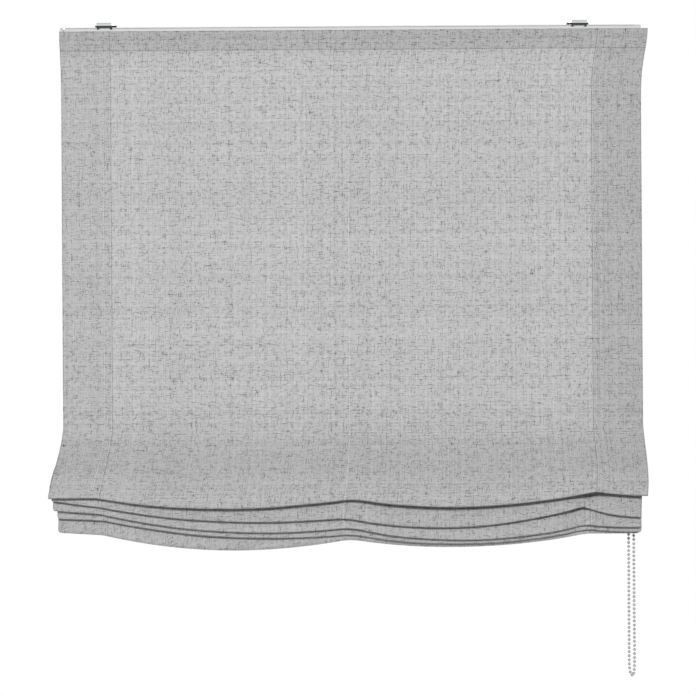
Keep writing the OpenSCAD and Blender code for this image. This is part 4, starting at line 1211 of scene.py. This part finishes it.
finish |= {
    "tape": grain_material("woven_tape", (0.70, 0.70, 0.69), 0.85, WOVEN, 0.5, shade=WOVEN_SHADE),
    "fastener": grain_material("touch_fastener", (0.74, 0.74, 0.74), 0.95, WOVEN, 0.8, shade=WOVEN_SHADE),
    "cord": grain_material("twisted_cord", (0.78, 0.78, 0.77), 0.8, TWISTED, 0.4, shade=WOVEN_SHADE),
    "rail": grain_material("white_powder_coat", (0.54, 0.55, 0.55), 0.55, FINE_GRAIN, 0.12),
    "clip_steel": grain_material("plated_steel", (0.50, 0.51, 0.52), 0.12, BRUSHED, 0.15, 1.0),
    # Painted shadow: the latches are real parts, coloured near black to stand for the shadow in the gap
    # under each clip.
    "latch_steel": grain_material("latch_black_painted_shadow", (0.02, 0.02, 0.022), 0.55, BRUSHED, 0.15),
    "steel": grain_material("drawn_steel", (0.52, 0.53, 0.54), 0.34, BRUSHED, 0.2, 1.0),
    "cap_plastic": grain_material("white_gloss_plastic", (0.50, 0.51, 0.51), 0.42, PLASTIC, 0.05),
    "drive_plastic": grain_material("pale_grey_plastic", (0.45, 0.49, 0.47), 0.32, PLASTIC, 0.05),
    "white_plastic": grain_material("white_moulded_plastic", (0.78, 0.78, 0.77), 0.5, PLASTIC, 0.1),
    # Painted shade: the beads are coloured dark grey, darker than their pale plastic, to stand for the
    # shading on them.
    "bead_plastic": grain_material("bead_plastic_painted_shade", (0.32, 0.32, 0.32), 0.3, PLASTIC, 0.04),
}
for slot in ("latch_steel", "rail", "cap_plastic"):
    finish[slot].node_tree.nodes["Principled BSDF"].inputs["Specular IOR Level"].default_value = DULL
print("finishes:", sorted(finish))

# %% [markdown]
# ## Giving every piece its finish
# Each node of the solid model names a slot, and so does each piece made above.  Materials could be put
# on by hand, piece by piece.  Going by the slots means that no piece is forgotten.  Only the stitches
# differ from the cloth they are sewn into: pale thread on the tapes, and on the top hem the same thread
# coloured dark grey, a painted shade for the shadow in its groove.

# %% Finishes onto pieces
slots = {s["node"]: s["material_slot"] for s in frame["record"]["subparts"]}
for name, node in nodes.items():
    node.data.materials.clear()
    node.data.materials.append(finish[slots[name]])
for piece in bpy.context.scene.objects:
    if piece.type == "MESH" and "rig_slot" in piece and piece.name not in nodes:
        piece.data.materials.append(finish[piece["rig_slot"]])
stitches.data.materials[0] = grain_material("pale_thread", (0.70, 0.70, 0.70), 0.7, FINE_GRAIN, 0.3)
# Painted shadow: the top hem's thread is the tapes' pale thread coloured dark grey for the shadow in the
# seam's groove.
hem_stitches.data.materials[0] = grain_material("hem_thread_painted_shade", (0.30, 0.30, 0.30), 0.7, FINE_GRAIN, 0.3)
print("materials:", len(bpy.data.materials))

# %% [markdown]
# ## Surroundings
# The blind is shown before plain white.  A lit backdrop would also throw light onto the cloth.  So the
# world is white only to the camera, in reflections and through clear things, and it lights the scene with
# a faint glow that grows towards the top.

# %% World
GLOW_LOW, GLOW_RISE, GLOW_REACH = 0.06, 0.32, 0.6
scene = bpy.context.scene
scene.view_settings.view_transform = "Standard"
world = bpy.data.worlds.new("studio")
scene.world = world
world.use_nodes = True
tree = world.node_tree
tree.nodes.clear()


def background(strength):
    """A white background shader of a strength that is a number or a socket."""
    node = tree.nodes.new("ShaderNodeBackground")
    node.inputs["Color"].default_value = (1, 1, 1, 1)
    if isinstance(strength, float):
        node.inputs["Strength"].default_value = strength
    else:
        tree.links.new(strength, node.inputs["Strength"])
    return node.outputs["Background"]


ray = tree.nodes.new("ShaderNodeLightPath")
seen = math_node(tree, "MAXIMUM", ray.outputs["Is Camera Ray"], ray.outputs["Is Glossy Ray"])
seen = math_node(tree, "MAXIMUM", seen, ray.outputs["Is Transmission Ray"])
where = tree.nodes.new("ShaderNodeTexCoord")
split = tree.nodes.new("ShaderNodeSeparateXYZ")
tree.links.new(where.outputs["Generated"], split.inputs["Vector"])
height = soft_step(tree, split.outputs["Z"], -GLOW_REACH, GLOW_REACH)
glow = math_node(tree, "ADD", math_node(tree, "MULTIPLY", height, GLOW_RISE), GLOW_LOW)
pick = tree.nodes.new("ShaderNodeMixShader")
world_out = tree.nodes.new("ShaderNodeOutputWorld")
tree.links.new(seen, pick.inputs["Fac"])
tree.links.new(background(glow), pick.inputs[1])
tree.links.new(background(1.0), pick.inputs[2])
tree.links.new(pick.outputs["Shader"], world_out.inputs["Surface"])
print("world:", len(tree.nodes), "nodes")

# %% [markdown]
# ## Lamps
# A soft lamp stands in front, above the middle, and draws the thin shadows under the folds.  A weaker one
# at the left softens them.  One lamp behind and one at each end show the back and the ends.  Sun lamps
# could do it too.  Area lamps were chosen because they are placed and sized like those of a studio, and
# their size sets how soft a shadow is.

# %% Lamps
AIM = (0.0, 0.0, -0.5)
LAMPS = {
    "key": ((0.0, -4.0, 0.66), 0.5, 152),
    "fill": ((-2.0, -2.4, -0.2), 1.6, 9),
    "back": ((0.6, 3.8, 0.6), 1.8, 110),
    "left": ((-3.0, 0.4, -0.1), 1.2, 22),
    "right": ((3.0, 0.4, -0.1), 1.2, 22),
}


def lamp(name, at, size, power):
    """A square soft lamp at a place in metres, turned so that its axis points at the aim."""
    light = bpy.data.lights.new(name, "AREA")
    light.size = size
    light.energy = power
    holder = bpy.data.objects.new(name, light)
    scene.collection.objects.link(holder)
    holder.location = at
    x, y, z = np.subtract(AIM, at)
    holder.rotation_euler = (math.atan2(math.hypot(x, y), -z), 0, math.atan2(y, x) - math.pi / 2)


for name, settings in LAMPS.items():
    lamp(name, *settings)
print("lamps:", {name: f"{power} W" for name, (_, _, power) in LAMPS.items()})

# %% [markdown]
# ## Floor
# A blind hangs well clear of the ground, so the floor is only seen from above.  It could be left out.  A
# plain pale plane was kept, because it sends some light back up to the undersides of the folds.

# %% Floor
FLOOR_X, FLOOR_Y, FLOOR_Z = 1.4, 1.2, -1.5
floor_mesh = bpy.data.meshes.new("floor")
signs = np.array([(-1, -1), (1, -1), (1, 1), (-1, 1)])
floor_points = np.column_stack([signs * (FLOOR_X, FLOOR_Y), np.full(len(signs), FLOOR_Z)])
floor_mesh.from_pydata(floor_points.tolist(), [], [(0, 1, 2, 3)])
floor = bpy.data.objects.new("floor", floor_mesh)
scene.collection.objects.link(floor)
floor.data.materials.append(material("pale_floor", (0.78, 0.78, 0.78), 0.9)[0])
floor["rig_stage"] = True
print("floor", 2 * FLOOR_X, "by", 2 * FLOOR_Y, "m")

# %% [markdown]
# ## Camera
# The camera looks straight at the blind from 2.2 m, level with the middle of its height.  A longer lens
# from further off would flatten the folds more.  With this lens, place and slight roll the picture lines
# up with the photograph of the real blind.

# %% Camera
SENSOR, LENS, ROLL = 36, 77.6, 0.0063
EYE = (0.0062, -2.218, -0.479)
camera_data = bpy.data.cameras.new("camera")
camera_data.sensor_width = SENSOR
camera_data.lens = LENS
camera = bpy.data.objects.new("camera", camera_data)
scene.collection.objects.link(camera)
camera.location = EYE
camera.rotation_euler = (math.pi / 2, ROLL, 0)
scene.camera = camera
print("camera at", EYE, "m")

# %% [markdown]
# ## Sizes
# Dressing should leave the blind as big as its solid model.  The boxes before and after could be compared
# by eye.  Here the box of the dressed blind is printed, so that its size can be read off.

# %% Sizes
low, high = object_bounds()
print("visual box", [round(v, 4) for v in (*low, *high)])
